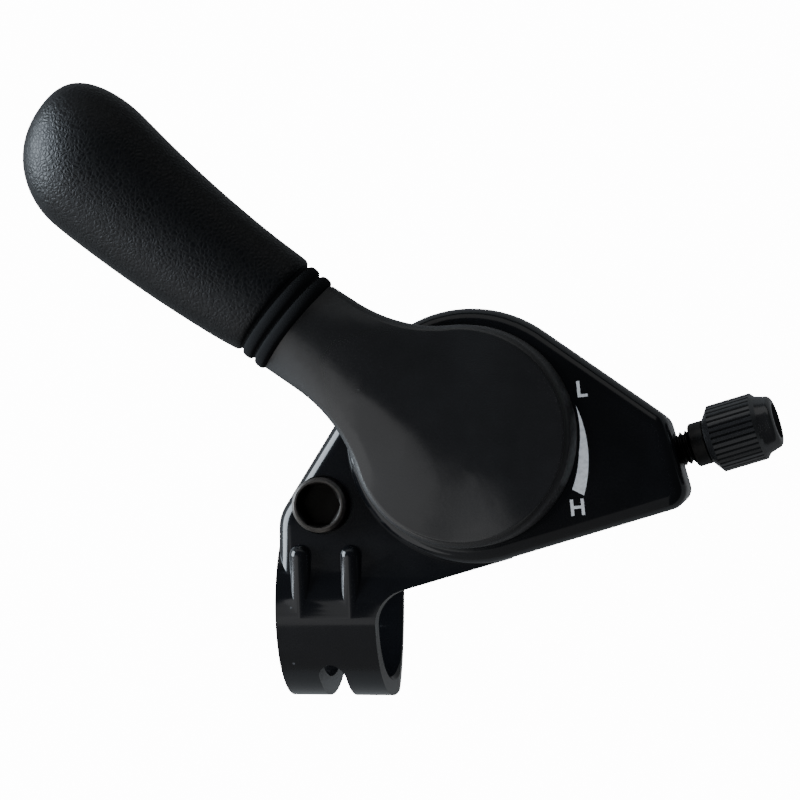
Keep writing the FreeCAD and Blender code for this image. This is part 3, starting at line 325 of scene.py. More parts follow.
def leather_group():
    """Pebbled leather grain: raised cells between fine creases, in two sizes."""
    small_share = 0.35
    lump_share = 0.9
    wander = 1.1 * MM
    shader, entry, leave = new_group("leather_grain", [("Cell Scale", 1500.0)], ["Height", "Crease"])
    place = shader.coords()
    warp = shader.node("ShaderNodeTexNoise", Scale=420.0, Detail=2.0)
    shader.link(place, warp.inputs["Vector"])
    push = shader.node("ShaderNodeVectorMath", operation="MULTIPLY_ADD")
    push.inputs[1].default_value = (wander, wander, wander)
    shader.link(warp.outputs["Color"], push.inputs[0])
    shader.link(place, push.inputs[2])
    moved = push.outputs["Vector"]
    large = shader.node("ShaderNodeTexVoronoi", feature="DISTANCE_TO_EDGE", Randomness=0.95)
    shader.link(moved, large.inputs["Vector"])
    shader.link(entry["Cell Scale"], large.inputs["Scale"])
    pebble = shader.ramp(large.outputs["Distance"], 0.0, 0.32)
    small = shader.ramp(shader.cells(moved, scale=2300.0, feature="DISTANCE_TO_EDGE"), 0.0, 0.3)
    lumps = shader.noise(place, scale=520.0, detail=3.0)
    height = shader.maths("ADD", pebble, shader.maths("MULTIPLY", small, small_share))
    height = shader.maths("ADD", height, shader.maths("MULTIPLY", lumps, lump_share))
    shader.link(height, leave["Height"])
    # Crease marks the creases, where the grip's colour is darkened as painted shade.
    shader.link(shader.ramp(pebble, 0.0, 0.45, 1.0, 0.0), leave["Crease"])


def worked_metal_group():
    """Fine tool marks and stains of a turned or plated metal."""
    shader, entry, leave = new_group("worked_metal", [("Mark Scale", 2600.0)], ["Height", "Stain"])
    place = shader.coords()
    marks = shader.node("ShaderNodeTexNoise", Detail=2.0)
    shader.link(place, marks.inputs["Vector"])
    shader.link(entry["Mark Scale"], marks.inputs["Scale"])
    shader.link(marks.outputs["Fac"], leave["Height"])
    shader.link(shader.noise(place, scale=310.0, detail=5.0, roughness=0.65), leave["Stain"])


# Finishes

def start_material(name):
    """New material, the shader helper for it and the sockets of its Principled shader."""
    material = bpy.data.materials.new(name)
    material.use_nodes = True
    return material, Shader(material.node_tree), material.node_tree.nodes["Principled BSDF"].inputs


def use_group(shader, name, **values):
    """Place a shared effect with its own values and give its outputs."""
    node = shader.node("ShaderNodeGroup")
    node.node_tree = bpy.data.node_groups[name]
    for label, setting in values.items():
        node.inputs[label.replace("_", " ")].default_value = setting
    return node.outputs


def moulded_material(name, tone, dusty, rough, grain, depth,
                     dust_share=0.5, shine=0.5, sides=0.0, neck=0.0):
    """Moulded plastic: tone and gloss wander and dust sits on it.

    sides and neck make upright sides and the lever's neck duller.
    """
    dust_rough = 0.3
    grain_strength = 0.35
    material, shader, surface = start_material(name)
    skin = use_group(shader, "moulded_skin", Grain_Scale=grain)
    colour = shader.mix(shader.ramp(skin["Mottle"], 0.3, 0.7), tone, shade(tone, 1.35))
    dust = shader.maths("MULTIPLY", skin["Dust"], dust_share)
    shader.link(shader.mix(dust, colour, dusty), surface["Base Color"])
    dull = shader.ramp(skin["Mottle"], 0.3, 0.75, rough * 0.88, rough * 1.15)
    if sides:
        dull = shader.maths("ADD", dull, shader.ramp(shader.levelness(), *SIDE_TO_TOP, sides, 0.0))
    if neck:
        dull = shader.maths("ADD", dull, shader.ramp(shader.radius(HUB), *CAP_TO_NECK, 0.0, neck))
    dull = shader.maths("ADD", dull, shader.maths("MULTIPLY", dust, dust_rough))
    shader.link(dull, surface["Roughness"])
    shader.link(shader.bump(skin["Height"], grain_strength, depth), surface["Normal"])
    surface["Specular IOR Level"].default_value = shine
    return material


def leather_material(name, tone, start, direction, grain_from):
    """Grip rubber: smooth dull rings, then a leather grain whose tops are shinier than its creases, with
    painted shade darkening the creases.
    """
    ring_rough = 0.95
    grain_rough = 0.36
    crease_rough = 0.20
    fade = 0.4 * MM
    material, shader, surface = start_material(name)
    grain = use_group(shader, "leather_grain")
    grained = shader.ramp(shader.along(start, direction), grain_from, grain_from + fade)
    cloudy = shader.noise(shader.coords(), scale=120.0)
    colour = shader.mix(shader.ramp(cloudy, 0.35, 0.7), tone, shade(tone, 1.7))
    crease_shade = shader.maths("MULTIPLY", grain["Crease"], grained)
    # Painted shade: the creases take a darker copy of the rubber's tone.
    shader.link(shader.mix(crease_shade, colour, shade(tone, 0.45)), surface["Base Color"])
    dull = shader.ramp(grained, 0.0, 1.0, ring_rough, grain_rough)
    dull = shader.maths("ADD", dull, shader.ramp(crease_shade, 0.0, 1.0, 0.0, crease_rough))
    shader.link(dull, surface["Roughness"])
    height = shader.maths("MULTIPLY", grain["Height"], grained)
    shader.link(shader.bump(height, strength=0.4, distance=0.09 * MM), surface["Normal"])
    surface["Specular IOR Level"].default_value = 0.31
    return material


def work_metal(shader, work, surface):
    """What every metal here has: fine tool marks and full metallic reflection."""
    shader.link(shader.bump(work["Height"], strength=0.25, distance=0.02 * MM), surface["Normal"])
    surface["Metallic"].default_value = 1.0


def metal_material(name, tone, stain, rough):
    """Steel, brass or anodised metal with fine marks and stains."""
    material, shader, surface = start_material(name)
    work = use_group(shader, "worked_metal")
    shader.link(shader.mix(shader.ramp(work["Stain"], 0.38, 0.68), tone, stain), surface["Base Color"])
    shader.link(shader.ramp(work["Stain"], 0.3, 0.7, rough * 0.8, rough * 1.3), surface["Roughness"])
    work_metal(shader, work, surface)
    return material


def bolt_material(name, dark, rim_tone, axis):
    """Blackened bolt: the socket painted dark as shade, inside a rim of the bolt's own tone with stains."""
    fade = 0.3 * MM
    material, shader, surface = start_material(name)
    work = use_group(shader, "worked_metal")
    # Inside the rim the colour is the dark one: painted shade in the socket.
    rim = shader.ramp(shader.radius(axis), BOLT_RIM, BOLT_RIM + fade)
    rim_outside_socket_shade = shader.maths("MULTIPLY", rim, shader.ramp(work["Stain"], 0.35, 0.65, 1.0, 0.35))
    shader.link(shader.mix(rim_outside_socket_shade, dark, rim_tone), surface["Base Color"])
    shader.link(shader.ramp(work["Stain"], 0.3, 0.7, 0.26, 0.42), surface["Roughness"])
    work_metal(shader, work, surface)
    return material


def print_material(name, tone):
    """Printed marks: pale ink, thin in places."""
    material, shader, surface = start_material(name)
    thin = shader.noise(shader.coords(), scale=1500.0, roughness=0.6)
    shader.link(shader.mix(shader.ramp(thin, 0.45, 0.7), tone, shade(tone, 0.72)), surface["Base Color"])
    shader.link(shader.ramp(thin, 0.3, 0.7, 0.35, 0.55), surface["Roughness"])
    shader.link(shader.bump(thin, strength=0.2, distance=0.01 * MM), surface["Normal"])
    return material


# Modelling of the pieces

def coat_node(name, material, degrees):
    """Finish of a CAD node: joined triangles, crisp edges, even shading, and its own material."""
    node = NODES[name]
    pick(node)
    bpy.ops.object.shade_smooth()
    join = node.modifiers.new("join", "WELD")
    join.merge_threshold = WELD
    crisp = node.modifiers.new("crisp_edges", "EDGE_SPLIT")
    crisp.split_angle = math.radians(degrees)
    crisp.use_edge_sharp = False
    even = node.modifiers.new("even_shading", "WEIGHTED_NORMAL")
    even.weight = 60
    node.data.materials.clear()
    node.data.materials.append(material)


def grip_place(sizes):
    """Where the grip's own frame lies: on the neck's end, X along the grip."""
    start = around_hub(sizes.neck_length, sizes.neck_direction, sizes.height)
    return Matrix.Translation(start) @ Matrix.Rotation(sizes.direction, 4, "Z")


def grip_sections(sizes):
    """Ovals along the grip: (distance, half width, half depth, sideways shift)."""
    foot, shoulder = foot_sections(sizes)
    return foot + body_sections(sizes, shoulder)


def foot_sections(sizes):
    """Ovals of the rings and the shoulder behind them, and where the shoulder starts."""

    def sunk(at, drop):
        return at, sizes.foot_half - drop * MM, sizes.foot_depth - drop * MM, 0.0

    sections = [sunk(0.0, FOOT_DROP)]
    at = sizes.ring_groove / 2
    for _ in range(RINGS):
        sections += [sunk(at + sizes.ring_width * share, drop) for share, drop in RING_PROFILE]
        at += sizes.ring_width + sizes.ring_groove
    sections += [sunk(at + step * MM, drop) for step, drop in SHOULDER_PROFILE]
    return sections, at


def body_sections(sizes, start):
    """Ovals of the swelling body and the round tip."""
    sections = []
    round_from = sizes.length - sizes.dome
    middle = (start + sizes.length) / 2

    def bow(at):
        return sizes.bow * (1 - ((at - middle) / (sizes.length - middle)) ** 2)

    for step in range(1, BODY_STEPS):
        share = step / BODY_STEPS
        at = start + (round_from - start) * share
        swell = share ** BODY_SWELL
        half = sizes.foot_half + (sizes.flare_half - sizes.foot_half) * swell
        depth = sizes.foot_depth + (sizes.flare_depth - sizes.foot_depth) * swell
        sections.append((at, half, depth, bow(at)))
    for degrees in TIP_TURNS:
        turn = math.radians(degrees)
        at = round_from + sizes.dome * math.sin(turn)
        shrink = math.cos(turn) ** TIP_FULLNESS
        shift = bow(at) - sizes.lean * (1 - math.cos(turn))
        sections.append((at, sizes.flare_half * shrink, sizes.flare_depth * shrink, shift))
    return sections


def sleeve(name, sections, sides):
    """Closed skin over ovals along X: one ring drawn from each oval to the next."""
    deselect()
    bpy.ops.mesh.primitive_circle_add(vertices=sides, radius=1.0, fill_type="NGON",
                                      rotation=(0.0, math.pi / 2, 0.0))
    piece = bpy.context.object
    piece.name = name
    bpy.ops.object.transform_apply(location=True, rotation=True, scale=True)
    bpy.ops.object.mode_set(mode="EDIT")
    bpy.ops.mesh.select_all(action="SELECT")
    at, half, depth, shift = sections[0]
    bpy.ops.transform.resize(value=(1.0, half, depth), center_override=(0.0, 0.0, 0.0))
    bpy.ops.transform.translate(value=(at, shift, 0.0))
    for last, section in zip(sections, sections[1:]):
        step = (section[0] - last[0], section[3] - last[3], 0.0)
        bpy.ops.mesh.extrude_region_move(TRANSFORM_OT_translate={"value": step})
        scale = (1.0, section[1] / last[1], section[2] / last[2])
        bpy.ops.transform.resize(value=scale, center_override=(section[0], section[3], 0.0))
    bpy.ops.mesh.poke()
    bpy.ops.object.mode_set(mode="OBJECT")
    return piece


def print_level():
    """Height of ink on the housing's flat front face."""
    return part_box("housing")[1][2] + INK_LIFT


def letter(name, sign, sizes, radius, angle):
    """One printed letter, standing on the flat face at a place round the pivot."""
    deselect()
    bpy.ops.object.text_add()
    text = bpy.context.object
    text.data.body = sign
    text.data.align_x = "CENTER"
    text.data.align_y = "CENTER"
    text.data.size = sizes.letter_height / CAPITAL_SHARE
    text.data.offset = sizes.letter_bold
    text.data.extrude = INK_DEPTH
    bpy.ops.object.convert(target="MESH")
    piece = bpy.context.object
    piece.name = name
    spot = around_hub(radius, angle, print_level())
    settle(piece, Matrix.Translation(spot) @ Matrix.Rotation(sizes.letter_turn, 4, "Z"))
    return piece


def tapered_arc(name, sizes):
    """Printed arc round the pivot, from a point near the L to its widest near the H."""
    widening = 1.08
    lift_from = 0.56
    level = print_level()
    deselect()
    bpy.ops.mesh.primitive_grid_add(x_subdivisions=sizes.steps, y_subdivisions=1, size=1.0)
    piece = bpy.context.object
    piece.name = name
    bpy.ops.object.mode_set(mode="EDIT")
    sheet = bmesh.from_edit_mesh(piece.data)
    for vert in sheet.verts:
        share = vert.co.x + 0.5
        if vert.co.y < 0:
            out = sizes.arc_lift * max(share - lift_from, 0.0) / (1 - lift_from)
        else:
            out = sizes.arc_width * share ** widening
        vert.co = around_hub(sizes.arc_radius + out, sizes.arc_start - sizes.arc_sweep * share, level)
    bmesh.update_edit_mesh(piece.data)
    bpy.ops.object.mode_set(mode="OBJECT")
    outward(piece)
    return piece


def drawn_line(name, points):
    """Line in the XY plane, drawn on from one point to the next."""
    deselect()
    bpy.ops.mesh.primitive_plane_add(size=MM)
    piece = bpy.context.object
    piece.name = name
    bpy.ops.object.mode_set(mode="EDIT")
    bpy.ops.mesh.select_all(action="SELECT")
    bpy.ops.mesh.merge(type="CENTER")
    bpy.ops.transform.translate(value=(*points[0], 0.0))
    for last, point in zip(points, points[1:]):
        step = (point[0] - last[0], point[1] - last[1], 0.0)
        bpy.ops.mesh.extrude_region_move(TRANSFORM_OT_translate={"value": step})
    bpy.ops.object.mode_set(mode="OBJECT")
    return piece


def spun(piece, facets, rise=0.0, turns=1):
    """Turn a drawn line round the X axis, rising along it for a thread."""
    apply_modifier(piece, "SCREW", "turn", axis="X", steps=facets, render_steps=facets, screw_offset=rise,
                   iterations=turns, use_merge_vertices=True, merge_threshold=WELD)
    outward(piece)


def tube_core(name, sizes):
    """Plain tube with the bevelled collar at its outer end."""
    bevel = 0.2 * MM
    core = drawn_line(name, [
        (sizes.start, sizes.bore),
        (sizes.start, sizes.root),
        (sizes.collar_start, sizes.root),
        (sizes.collar_start, sizes.collar - bevel),
        (sizes.collar_start + bevel, sizes.collar),
        (sizes.collar_end - bevel, sizes.collar),
        (sizes.collar_end, sizes.collar - bevel),
        (sizes.collar_end, sizes.bore),
        (sizes.start, sizes.bore),
    ])
    spun(core, sizes.facets)
    return core


def thread_ridge(name, sizes):
    """Ridge of the thread, wound from the tube's inner end to the collar."""
    crest_from = 0.40 * sizes.pitch
    crest_to = 0.54 * sizes.pitch
    ridge_to = 0.94 * sizes.pitch
    foot = sizes.root - 0.05 * MM
    ridge = drawn_line(name, [
        (sizes.start, foot),
        (sizes.start + crest_from, sizes.crest),
        (sizes.start + crest_to, sizes.crest),
        (sizes.start + ridge_to, foot),
        (sizes.start, foot),
    ])
    turns = int((sizes.collar_start - sizes.start) / sizes.pitch)
    spun(ridge, sizes.facets, sizes.pitch, turns)
    return ridge


def threaded_tube(name, sizes):
    """Tube with a plain collar, and the thread wound round it."""
    core = tube_core(name, sizes)
    ridge = thread_ridge("thread_ridge", sizes)
    pick(core)
    ridge.select_set(True)
    bpy.ops.object.join()
    turn = math.atan2(CABLE_AXIS.y, CABLE_AXIS.x)
    settle(core, Matrix.Translation(CABLE_START) @ Matrix.Rotation(turn, 4, "Z"))
    smooth(core, THREAD_CREASE)
    return core


# Studio

def lay_floor(sizes):
    """Pale floor just under the part, much brighter to the camera than to the part."""
    deselect()
    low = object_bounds()[0][2]
    bpy.ops.mesh.primitive_plane_add(size=sizes.floor_size, location=(0.0, 0.0, low - sizes.floor_gap))
    floor = bpy.context.object
    floor.name = "floor"
    material, shader, surface = start_material("pale_floor")
    surface["Base Color"].default_value = (*sizes.floor_tone, 1.0)
    surface["Roughness"].default_value = 0.9
    surface["Emission Color"].default_value = (*WHITE, 1.0)
    seen = shader.node("ShaderNodeLightPath").outputs["Is Camera Ray"]
    glow = shader.ramp(seen, 0.0, 1.0, sizes.floor_bounce, sizes.floor_glow)
    shader.link(glow, surface["Emission Strength"])
    floor.data.materials.append(material)
    floor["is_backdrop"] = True


def soft_light(name, place, aim, width, depth, glow, tint=WHITE):
    """Rectangular soft light that looks at a point, with an even glow over its face."""
    deselect()
    bpy.ops.object.light_add(type="AREA", location=place)
    lamp = bpy.context.object
    lamp.name = name
    lamp.data.shape = "RECTANGLE"
    lamp.data.size = width
    lamp.data.size_y = depth
    lamp.data.energy = glow * math.pi * width * depth
    lamp.data.color = tint
    look = (Vector(aim) - Vector(place)).to_track_quat("-Z", "Y").to_matrix().to_4x4()
    lamp.matrix_world = Matrix.Translation(place) @ look
    return lamp


def hang_lights(context):
    """Dim room, a bright window on the left, large soft panels, and a fill that leaves no reflection."""
    world = bpy.data.worlds.new("studio")
    context.scene.world = world
    world.use_nodes = True
    sky = world.node_tree.nodes["Background"].inputs
    sky["Color"].default_value = (*SKY_TINT, 1.0)
    sky["Strength"].default_value = 0.03
    soft_light("left_window", place=(-0.84, 0.20, 0.28), aim=(0.0, 0.03, 0.0),
               width=0.72, depth=0.60, glow=15.0, tint=WINDOW_TINT)
    soft_light("edge_panel", place=(-0.245, -0.21, 0.70), aim=(0.255, -0.21, 0.20),
               width=0.36, depth=0.283, glow=0.62)
    soft_light("main_panel", place=(-0.595, -0.475, 0.35), aim=(-0.095, -0.475, -0.15),
               width=0.95, depth=0.707, glow=0.98)
    soft_light("upper_panel", place=(-0.05, 0.90, 0.45), aim=(0.0, 0.03, 0.01),
               width=1.60, depth=0.55, glow=0.45)
    soft_light("low_panel", place=(-0.15, -0.685, 0.44), aim=(-0.15, -0.059, -0.058),
               width=0.70, depth=1.20, glow=0.22)
    fill = soft_light("front_fill", place=(0.35, -0.10, 0.95), aim=(0.02, 0.03, 0.0),
                      width=0.60, depth=0.60, glow=4.6, tint=SKY_TINT)
    fill.visible_glossy = False


def set_camera(context, sizes):
    """Camera at the photograph's angle, upright along Y."""
    sensor = 36.0
    deselect()
    out = Vector((math.sin(sizes.yaw) * math.cos(sizes.pitch), math.sin(sizes.pitch),
                  math.cos(sizes.yaw) * math.cos(sizes.pitch)))
    stand = Vector(sizes.aim) + out * sizes.distance
    bpy.ops.object.camera_add(location=stand)
    camera = bpy.context.object
    right = Vector((0.0, 1.0, 0.0)).cross(out).normalized()
    up = out.cross(right)
    turn = Matrix((right, up, out)).transposed().to_4x4()
    camera.matrix_world = Matrix.Translation(stand) @ turn
    camera.data.sensor_width = sensor
    camera.data.lens = sensor * sizes.distance / sizes.view_width
    camera.data.clip_end = 20.0
    context.scene.camera = camera


# Sizes and colours that a user can change

class ShifterFinish(bpy.types.PropertyGroup):
    """Colours of the moulded and metal pieces."""

    housing_tone: FloatVectorProperty(name="Housing", description="Black of the glossy housing",
                                      subtype="COLOR", default=(0.0040, 0.0043, 0.0052))
    lever_tone: FloatVectorProperty(name="Lever", description="Dark grey of the lever's cap and neck",
                                    subtype="COLOR", default=(0.0090, 0.0090, 0.0095))
    grip_tone: FloatVectorProperty(name="Grip", description="Black of the leather-grained grip",
                                   subtype="COLOR", default=(0.0018, 0.0020, 0.0025))
    barrel_tone: FloatVectorProperty(name="Adjuster", description="Black of the knurled adjuster",
                                     subtype="COLOR", default=(0.0110, 0.0112, 0.0120))
    bolt_tone: FloatVectorProperty(name="Bolt", description="Blackened steel of the clamp bolt",
                                   subtype="COLOR", default=(0.23, 0.215, 0.20))
    print_tone: FloatVectorProperty(name="Print", description="Pale ink of the H and L marks",
                                    subtype="COLOR", default=(0.86, 0.90, 0.95))


class ShifterGrip(bpy.types.PropertyGroup):
    """Sizes of the grip sleeve."""

    length: FloatProperty(name="Length", description="From the neck's end to the grip's tip",
                          unit="LENGTH", default=0.0506)
    foot_half: FloatProperty(name="Foot half width", description="Half the sleeve's width behind its rings",
                             unit="LENGTH", default=0.00835)
    foot_depth: FloatProperty(name="Foot half depth", description="Half the sleeve's depth behind its rings",
                              unit="LENGTH", default=0.0055)
    flare_half: FloatProperty(name="Flare half width", description="Half the sleeve's width near its tip",
                              unit="LENGTH", default=0.01045)
    flare_depth: FloatProperty(name="Flare half depth", description="Half the sleeve's depth near its tip",
                               unit="LENGTH", default=0.0070)
    ring_width: FloatProperty(name="Ring width", description="Width of one ring at the foot",
                              unit="LENGTH", default=0.00175)
    ring_groove: FloatProperty(name="Groove width", description="Width of one groove between rings",
                               unit="LENGTH", default=0.0005)
    dome: FloatProperty(name="Tip length", description="Length of the grip's rounded tip",
                        unit="LENGTH", default=0.0120)
    bow: FloatProperty(name="Bow", description="How far the grip's middle bends towards the clamp",
                       unit="LENGTH", default=0.00128)
    lean: FloatProperty(name="Tip lean", description="How far the tip leans the other way",
                        unit="LENGTH", default=0.0017)
    direction: FloatProperty(name="Direction", description="Turn of the grip from the X axis",
                             subtype="ANGLE", default=math.radians(141.0))
    neck_direction: FloatProperty(name="Neck direction",
                                  description="Turn of the lever's neck from the X axis",
                                  subtype="ANGLE", default=math.radians(146.6))
    neck_length: FloatProperty(name="Neck length", description="From the pivot to the grip's foot",
                               unit="LENGTH", default=0.0289)
    height: FloatProperty(name="Height", description="Height of the grip's axis over the clamp's axis",
                          unit="LENGTH", default=0.0212)


class ShifterMarks(bpy.types.PropertyGroup):
    """Sizes of the printed range marks."""

    letter_height: FloatProperty(name="Letter height", description="Height of the H and the L",
                                 unit="LENGTH", default=0.0023)
    letter_bold: FloatProperty(name="Letter boldness", description="How far the strokes are thickened",
                               unit="LENGTH", default=0.00007)
    letter_turn: FloatProperty(name="Letter turn", description="How far the letters lean to the left",
                               subtype="ANGLE", default=math.radians(6.0))
    low_radius: FloatProperty(name="L radius", description="From the pivot to the middle of the L",
                              unit="LENGTH", default=0.0181)
    low_angle: FloatProperty(name="L angle", description="Direction of the L from the pivot",
                             subtype="ANGLE", default=math.radians(22.0))
    high_radius: FloatProperty(name="H radius", description="From the pivot to the middle of the H",
                               unit="LENGTH", default=0.0193)
    high_angle: FloatProperty(name="H angle", description="Direction of the H from the pivot",
                              subtype="ANGLE", default=math.radians(-32.7))
    arc_radius: FloatProperty(name="Arc radius", description="From the pivot to the arc's point",
                              unit="LENGTH", default=0.0166)
    arc_width: FloatProperty(name="Arc width", description="How far the outer edge runs out at the wide end",
                             unit="LENGTH", default=0.0026)
    arc_lift: FloatProperty(name="Arc lift", description="How far the inner edge runs out at the wide end",
                            unit="LENGTH", default=0.00065)
    arc_start: FloatProperty(name="Arc start", description="Direction of the arc's point from the pivot",
                             subtype="ANGLE", default=math.radians(16.0))
    arc_sweep: FloatProperty(name="Arc sweep", description="How far the arc runs round the pivot",
                             subtype="ANGLE", default=math.radians(42.5))
    steps: IntProperty(name="Arc steps", description="Facets along the tapered arc", default=40, min=8)


class ShifterThread(bpy.types.PropertyGroup):
    """Sizes of the adjuster's threaded tube and collar."""

    pitch: FloatProperty(name="Pitch", description="Rise of the thread in one turn",
                         unit="LENGTH", default=0.0008)
    crest: FloatProperty(name="Crest radius", description="Outer radius of the thread",
                         unit="LENGTH", default=0.00248)
    root: FloatProperty(name="Root radius", description="Inner radius of the thread",
                        unit="LENGTH", default=0.00202)
    bore: FloatProperty(name="Bore radius", description="Radius of the hole for the cable",
                        unit="LENGTH", default=0.0011)
    start: FloatProperty(name="Thread start", description="Inner end of the tube, before the snout's end",
                         unit="LENGTH", default=-0.011)
    collar_start: FloatProperty(name="Collar start", description="From the snout's end to the collar",
                                unit="LENGTH", default=0.0020)
    collar_end: FloatProperty(name="Collar end", description="From the snout's end to the barrel",
                              unit="LENGTH", default=0.0043)
    collar: FloatProperty(name="Collar radius", description="Radius of the plain collar",
                          unit="LENGTH", default=0.00325)
    facets: IntProperty(name="Facets", description="Facets in one turn", default=48, min=12)


class ShifterStage(bpy.types.PropertyGroup):
    """Camera and floor."""

    yaw: FloatProperty(name="Camera yaw", description="How far the camera stands towards the cable's side",
                       subtype="ANGLE", default=math.radians(12.0))
    pitch: FloatProperty(name="Camera pitch",
                         description="How far the camera stands towards the grip's side",
                         subtype="ANGLE", default=math.radians(0.0))
    distance: FloatProperty(name="Camera distance", description="From the camera to the middle of the view",
                            unit="LENGTH", default=1.0)
    view_width: FloatProperty(name="View width", description="Width that the picture covers at the object",
                              unit="LENGTH", default=0.11765)
    aim: FloatVectorProperty(name="Aim", description="Point in the middle of the picture",
                             subtype="XYZ", unit="LENGTH", default=(0.01047, 0.0300, 0.0100))
    floor_size: FloatProperty(name="Floor size", description="Length of the floor's sides",
                              unit="LENGTH", default=6.0)
    floor_gap: FloatProperty(name="Floor gap", description="From the part's lowest point down to the floor",
                             unit="LENGTH", default=0.0004)
    floor_tone: FloatVectorProperty(name="Floor", description="Pale floor",
                                    subtype="COLOR", default=(0.24, 0.24, 0.24))
    floor_glow: FloatProperty(name="Floor glow", description="Light of the floor as the camera sees it",
                              default=14.0)
    floor_bounce: FloatProperty(name="Floor bounce", description="Light of the floor on the part",
                                default=0.02)


# Dressing steps and their panel

class SHIFTER_OT_housing(bpy.types.Operator):
    """Finish the glossy housing"""

    bl_idname = "shifter.housing"
    bl_label = "Housing"

    def execute(self, context):
        tone = tuple(context.scene.shifter_finish.housing_tone)
        gloss = moulded_material("gloss_black_moulding", tone, dusty=(0.32, 0.33, 0.36),
                                 rough=0.15, grain=700.0, depth=0.01 * MM)
        coat_node("housing", gloss, HOUSING_CREASE)
        return {"FINISHED"}


class SHIFTER_OT_lever(bpy.types.Operator):
    """Finish the dark grey lever"""

    bl_idname = "shifter.lever"
    bl_label = "Lever"

    def execute(self, context):
        tone = tuple(context.scene.shifter_finish.lever_tone)
        satin = moulded_material("satin_grey_moulding", tone, dusty=(0.2, 0.2, 0.21),
                                 rough=0.11, grain=1500.0, depth=0.004 * MM,
                                 dust_share=0.15, shine=0.7, sides=0.45, neck=0.20)
        coat_node("lever", satin, LEVER_CREASE)
        return {"FINISHED"}


class SHIFTER_OT_grip(bpy.types.Operator):
    """Model the grip sleeve with its rings and round tip"""

    bl_idname = "shifter.grip"
    bl_label = "Grip sleeve"

    def execute(self, context):
        sizes = context.scene.shifter_grip
        place = grip_place(sizes)
        grip = sleeve("grip", grip_sections(sizes), GRIP_SIDES)
        settle(grip, place)
        outward(grip)
        apply_modifier(grip, "SUBSURF", "round", levels=1, render_levels=1)
        smooth(grip, GRIP_CREASE)
        tone = tuple(context.scene.shifter_finish.grip_tone)
        grain_from = RINGS * (sizes.ring_width + sizes.ring_groove)
        rubber = leather_material("leather_grain_rubber", tone, start=place.translation,
                                  direction=sizes.direction, grain_from=grain_from)
        finish(grip, rubber, "lever", ("grip_sleeve",))
        return {"FINISHED"}


class SHIFTER_OT_marks(bpy.types.Operator):
    """Print the H and L marks and the tapered arc between them"""

    bl_idname = "shifter.marks"
    bl_label = "Range marks"

    def execute(self, context):
        sizes = context.scene.shifter_marks
        ink = print_material("pale_ink", tuple(context.scene.shifter_finish.print_tone))
        low = letter("mark_low", "L", sizes, sizes.low_radius, sizes.low_angle)
        high = letter("mark_high", "H", sizes, sizes.high_radius, sizes.high_angle)
        arc = tapered_arc("mark_arc", sizes)
        for piece in (low, high, arc):
            finish(piece, ink, "housing")
        return {"FINISHED"}


class SHIFTER_OT_adjuster(bpy.types.Operator):
    """Model the adjuster's threaded tube and finish the knurled barrel"""

    bl_idname = "shifter.adjuster"
    bl_label = "Cable adjuster"

    def execute(self, context):
        tone = tuple(context.scene.shifter_finish.barrel_tone)
        black = moulded_material("semi_gloss_black", tone, dusty=(0.25, 0.25, 0.26),
                                 rough=0.2, grain=1300.0, depth=0.01 * MM, dust_share=0.3, shine=0.9)
        coat_node("adjuster_barrel", black, SMALL_CREASE)
        thread = threaded_tube("adjuster_thread", context.scene.shifter_thread)
        dark = metal_material("black_anodised", (0.05, 0.049, 0.048), stain=(0.03, 0.03, 0.03), rough=0.36)
        finish(thread, dark, "adjuster", ("adjuster_screw",))
        return {"FINISHED"}


class SHIFTER_OT_fasteners(bpy.types.Operator):
    """Finish the clamp bolt, its washer and nut, the pivot's screw and the small steel pieces"""

    bl_idname = "shifter.fasteners"
    bl_label = "Fasteners"

    def execute(self, context):
        tone = tuple(context.scene.shifter_finish.bolt_tone)
        low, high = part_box("clamp_bolt")
        axis = ((low[0] + high[0]) / 2, (low[1] + high[1]) / 2, 0.0)
        # The socket's colour is a tenth of the bolt's tone: painted shade.
        black = bolt_material("blackened_steel", shade(tone, 0.1), tone, axis)
        coat_node("clamp_bolt", black, SMALL_CREASE)
        zinc = metal_material("zinc_steel", (0.5, 0.5, 0.51), stain=(0.38, 0.38, 0.37), rough=0.36)
        for name in ("clamp_washer", "clamp_nut", "pivot_screw", "keyed_washer", "stop_pin"):
            coat_node(name, zinc, SMALL_CREASE)
        spring = metal_material("spring_steel", (0.3, 0.31, 0.34), stain=(0.2, 0.2, 0.23), rough=0.3)
        coat_node("disc_spring", spring, SMALL_CREASE)
        return {"FINISHED"}


class SHIFTER_OT_inside(bpy.types.Operator):
    """Finish the drum, the bush, the insert and the washers inside"""

    bl_idname = "shifter.inside"
    bl_label = "Inner pieces"

    def execute(self, context):
        brass = metal_material("brass", (0.66, 0.5, 0.24), stain=(0.45, 0.32, 0.15), rough=0.32)
        nylon = moulded_material("white_nylon", (0.6, 0.59, 0.55), dusty=(0.3, 0.3, 0.28),
                                 rough=0.42, grain=1100.0, depth=0.01 * MM)
        fibre = moulded_material("brown_fibre", (0.16, 0.085, 0.045), dusty=(0.3, 0.22, 0.15),
                                 rough=0.7, grain=2400.0, depth=0.04 * MM)
        acetal = moulded_material("grey_acetal", (0.07, 0.07, 0.073), dusty=(0.2, 0.2, 0.2),
                                  rough=0.36, grain=1100.0, depth=0.01 * MM)
        for name, material in (("pivot_bush", brass), ("threaded_insert", brass), ("thrust_washer", nylon),
                               ("friction_washer", fibre), ("cable_drum", acetal)):
            coat_node(name, material, SMALL_CREASE)
        return {"FINISHED"}


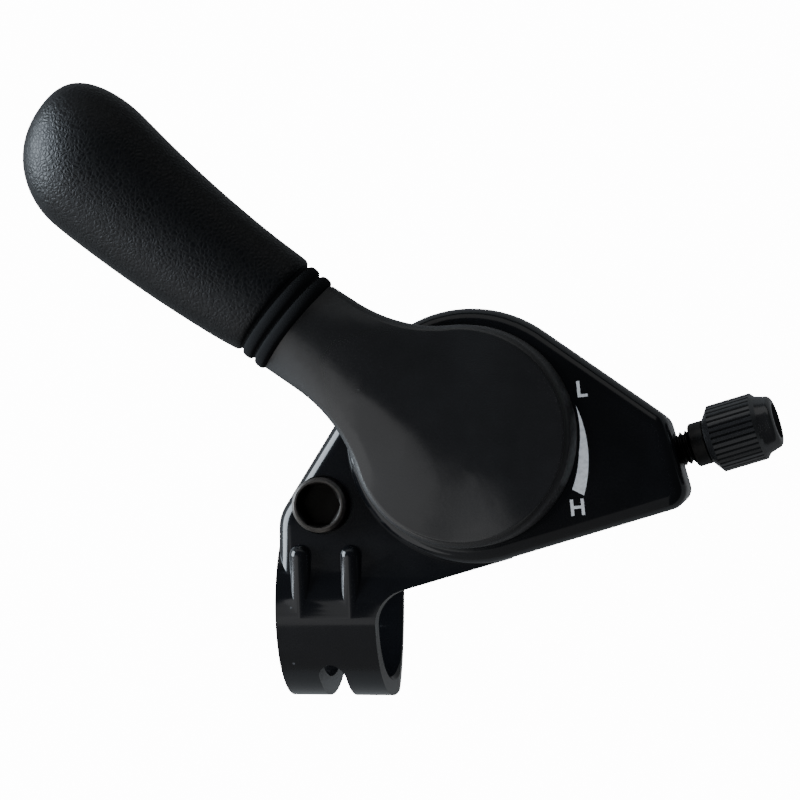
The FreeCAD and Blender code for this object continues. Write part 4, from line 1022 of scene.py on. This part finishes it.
class SHIFTER_OT_stage(bpy.types.Operator):
    """Set the pale floor, the soft lights and the camera"""

    bl_idname = "shifter.stage"
    bl_label = "Studio"

    def execute(self, context):
        sizes = context.scene.shifter_stage
        lay_floor(sizes)
        hang_lights(context)
        set_camera(context, sizes)
        return {"FINISHED"}


class SHIFTER_PT_panel(bpy.types.Panel):
    """Lists the dressing steps, and the sizes and colours that they use"""

    bl_idname = "SHIFTER_PT_panel"
    bl_label = "Thumb Shifter"
    bl_space_type = "VIEW_3D"
    bl_region_type = "UI"
    bl_category = "Shifter"

    def draw(self, context):
        for operator in OPERATORS:
            self.layout.operator(operator.bl_idname)
        for name, group in GROUPS.items():
            box = self.layout.box()
            for key in group.__annotations__:
                box.prop(getattr(context.scene, name), key)


GROUPS = {
    "shifter_finish": ShifterFinish,
    "shifter_grip": ShifterGrip,
    "shifter_marks": ShifterMarks,
    "shifter_thread": ShifterThread,
    "shifter_stage": ShifterStage,
}
OPERATORS = [SHIFTER_OT_housing, SHIFTER_OT_lever, SHIFTER_OT_grip, SHIFTER_OT_marks, SHIFTER_OT_adjuster,
             SHIFTER_OT_fasteners, SHIFTER_OT_inside, SHIFTER_OT_stage]


def register():
    for name, group in GROUPS.items():
        bpy.utils.register_class(group)
        setattr(bpy.types.Scene, name, PointerProperty(type=group))
    for operator in OPERATORS:
        bpy.utils.register_class(operator)
    bpy.utils.register_class(SHIFTER_PT_panel)


def unregister():
    bpy.utils.unregister_class(SHIFTER_PT_panel)
    for operator in reversed(OPERATORS):
        bpy.utils.unregister_class(operator)
    for name, group in GROUPS.items():
        delattr(bpy.types.Scene, name)
        bpy.utils.unregister_class(group)


def main():
    register()
    moulded_skin_group()
    leather_group()
    worked_metal_group()
    bpy.ops.shifter.housing()
    bpy.ops.shifter.lever()
    bpy.ops.shifter.grip()
    bpy.ops.shifter.marks()
    bpy.ops.shifter.adjuster()
    bpy.ops.shifter.fasteners()
    bpy.ops.shifter.inside()
    bpy.ops.shifter.stage()


if __name__ == "__main__":
    main()
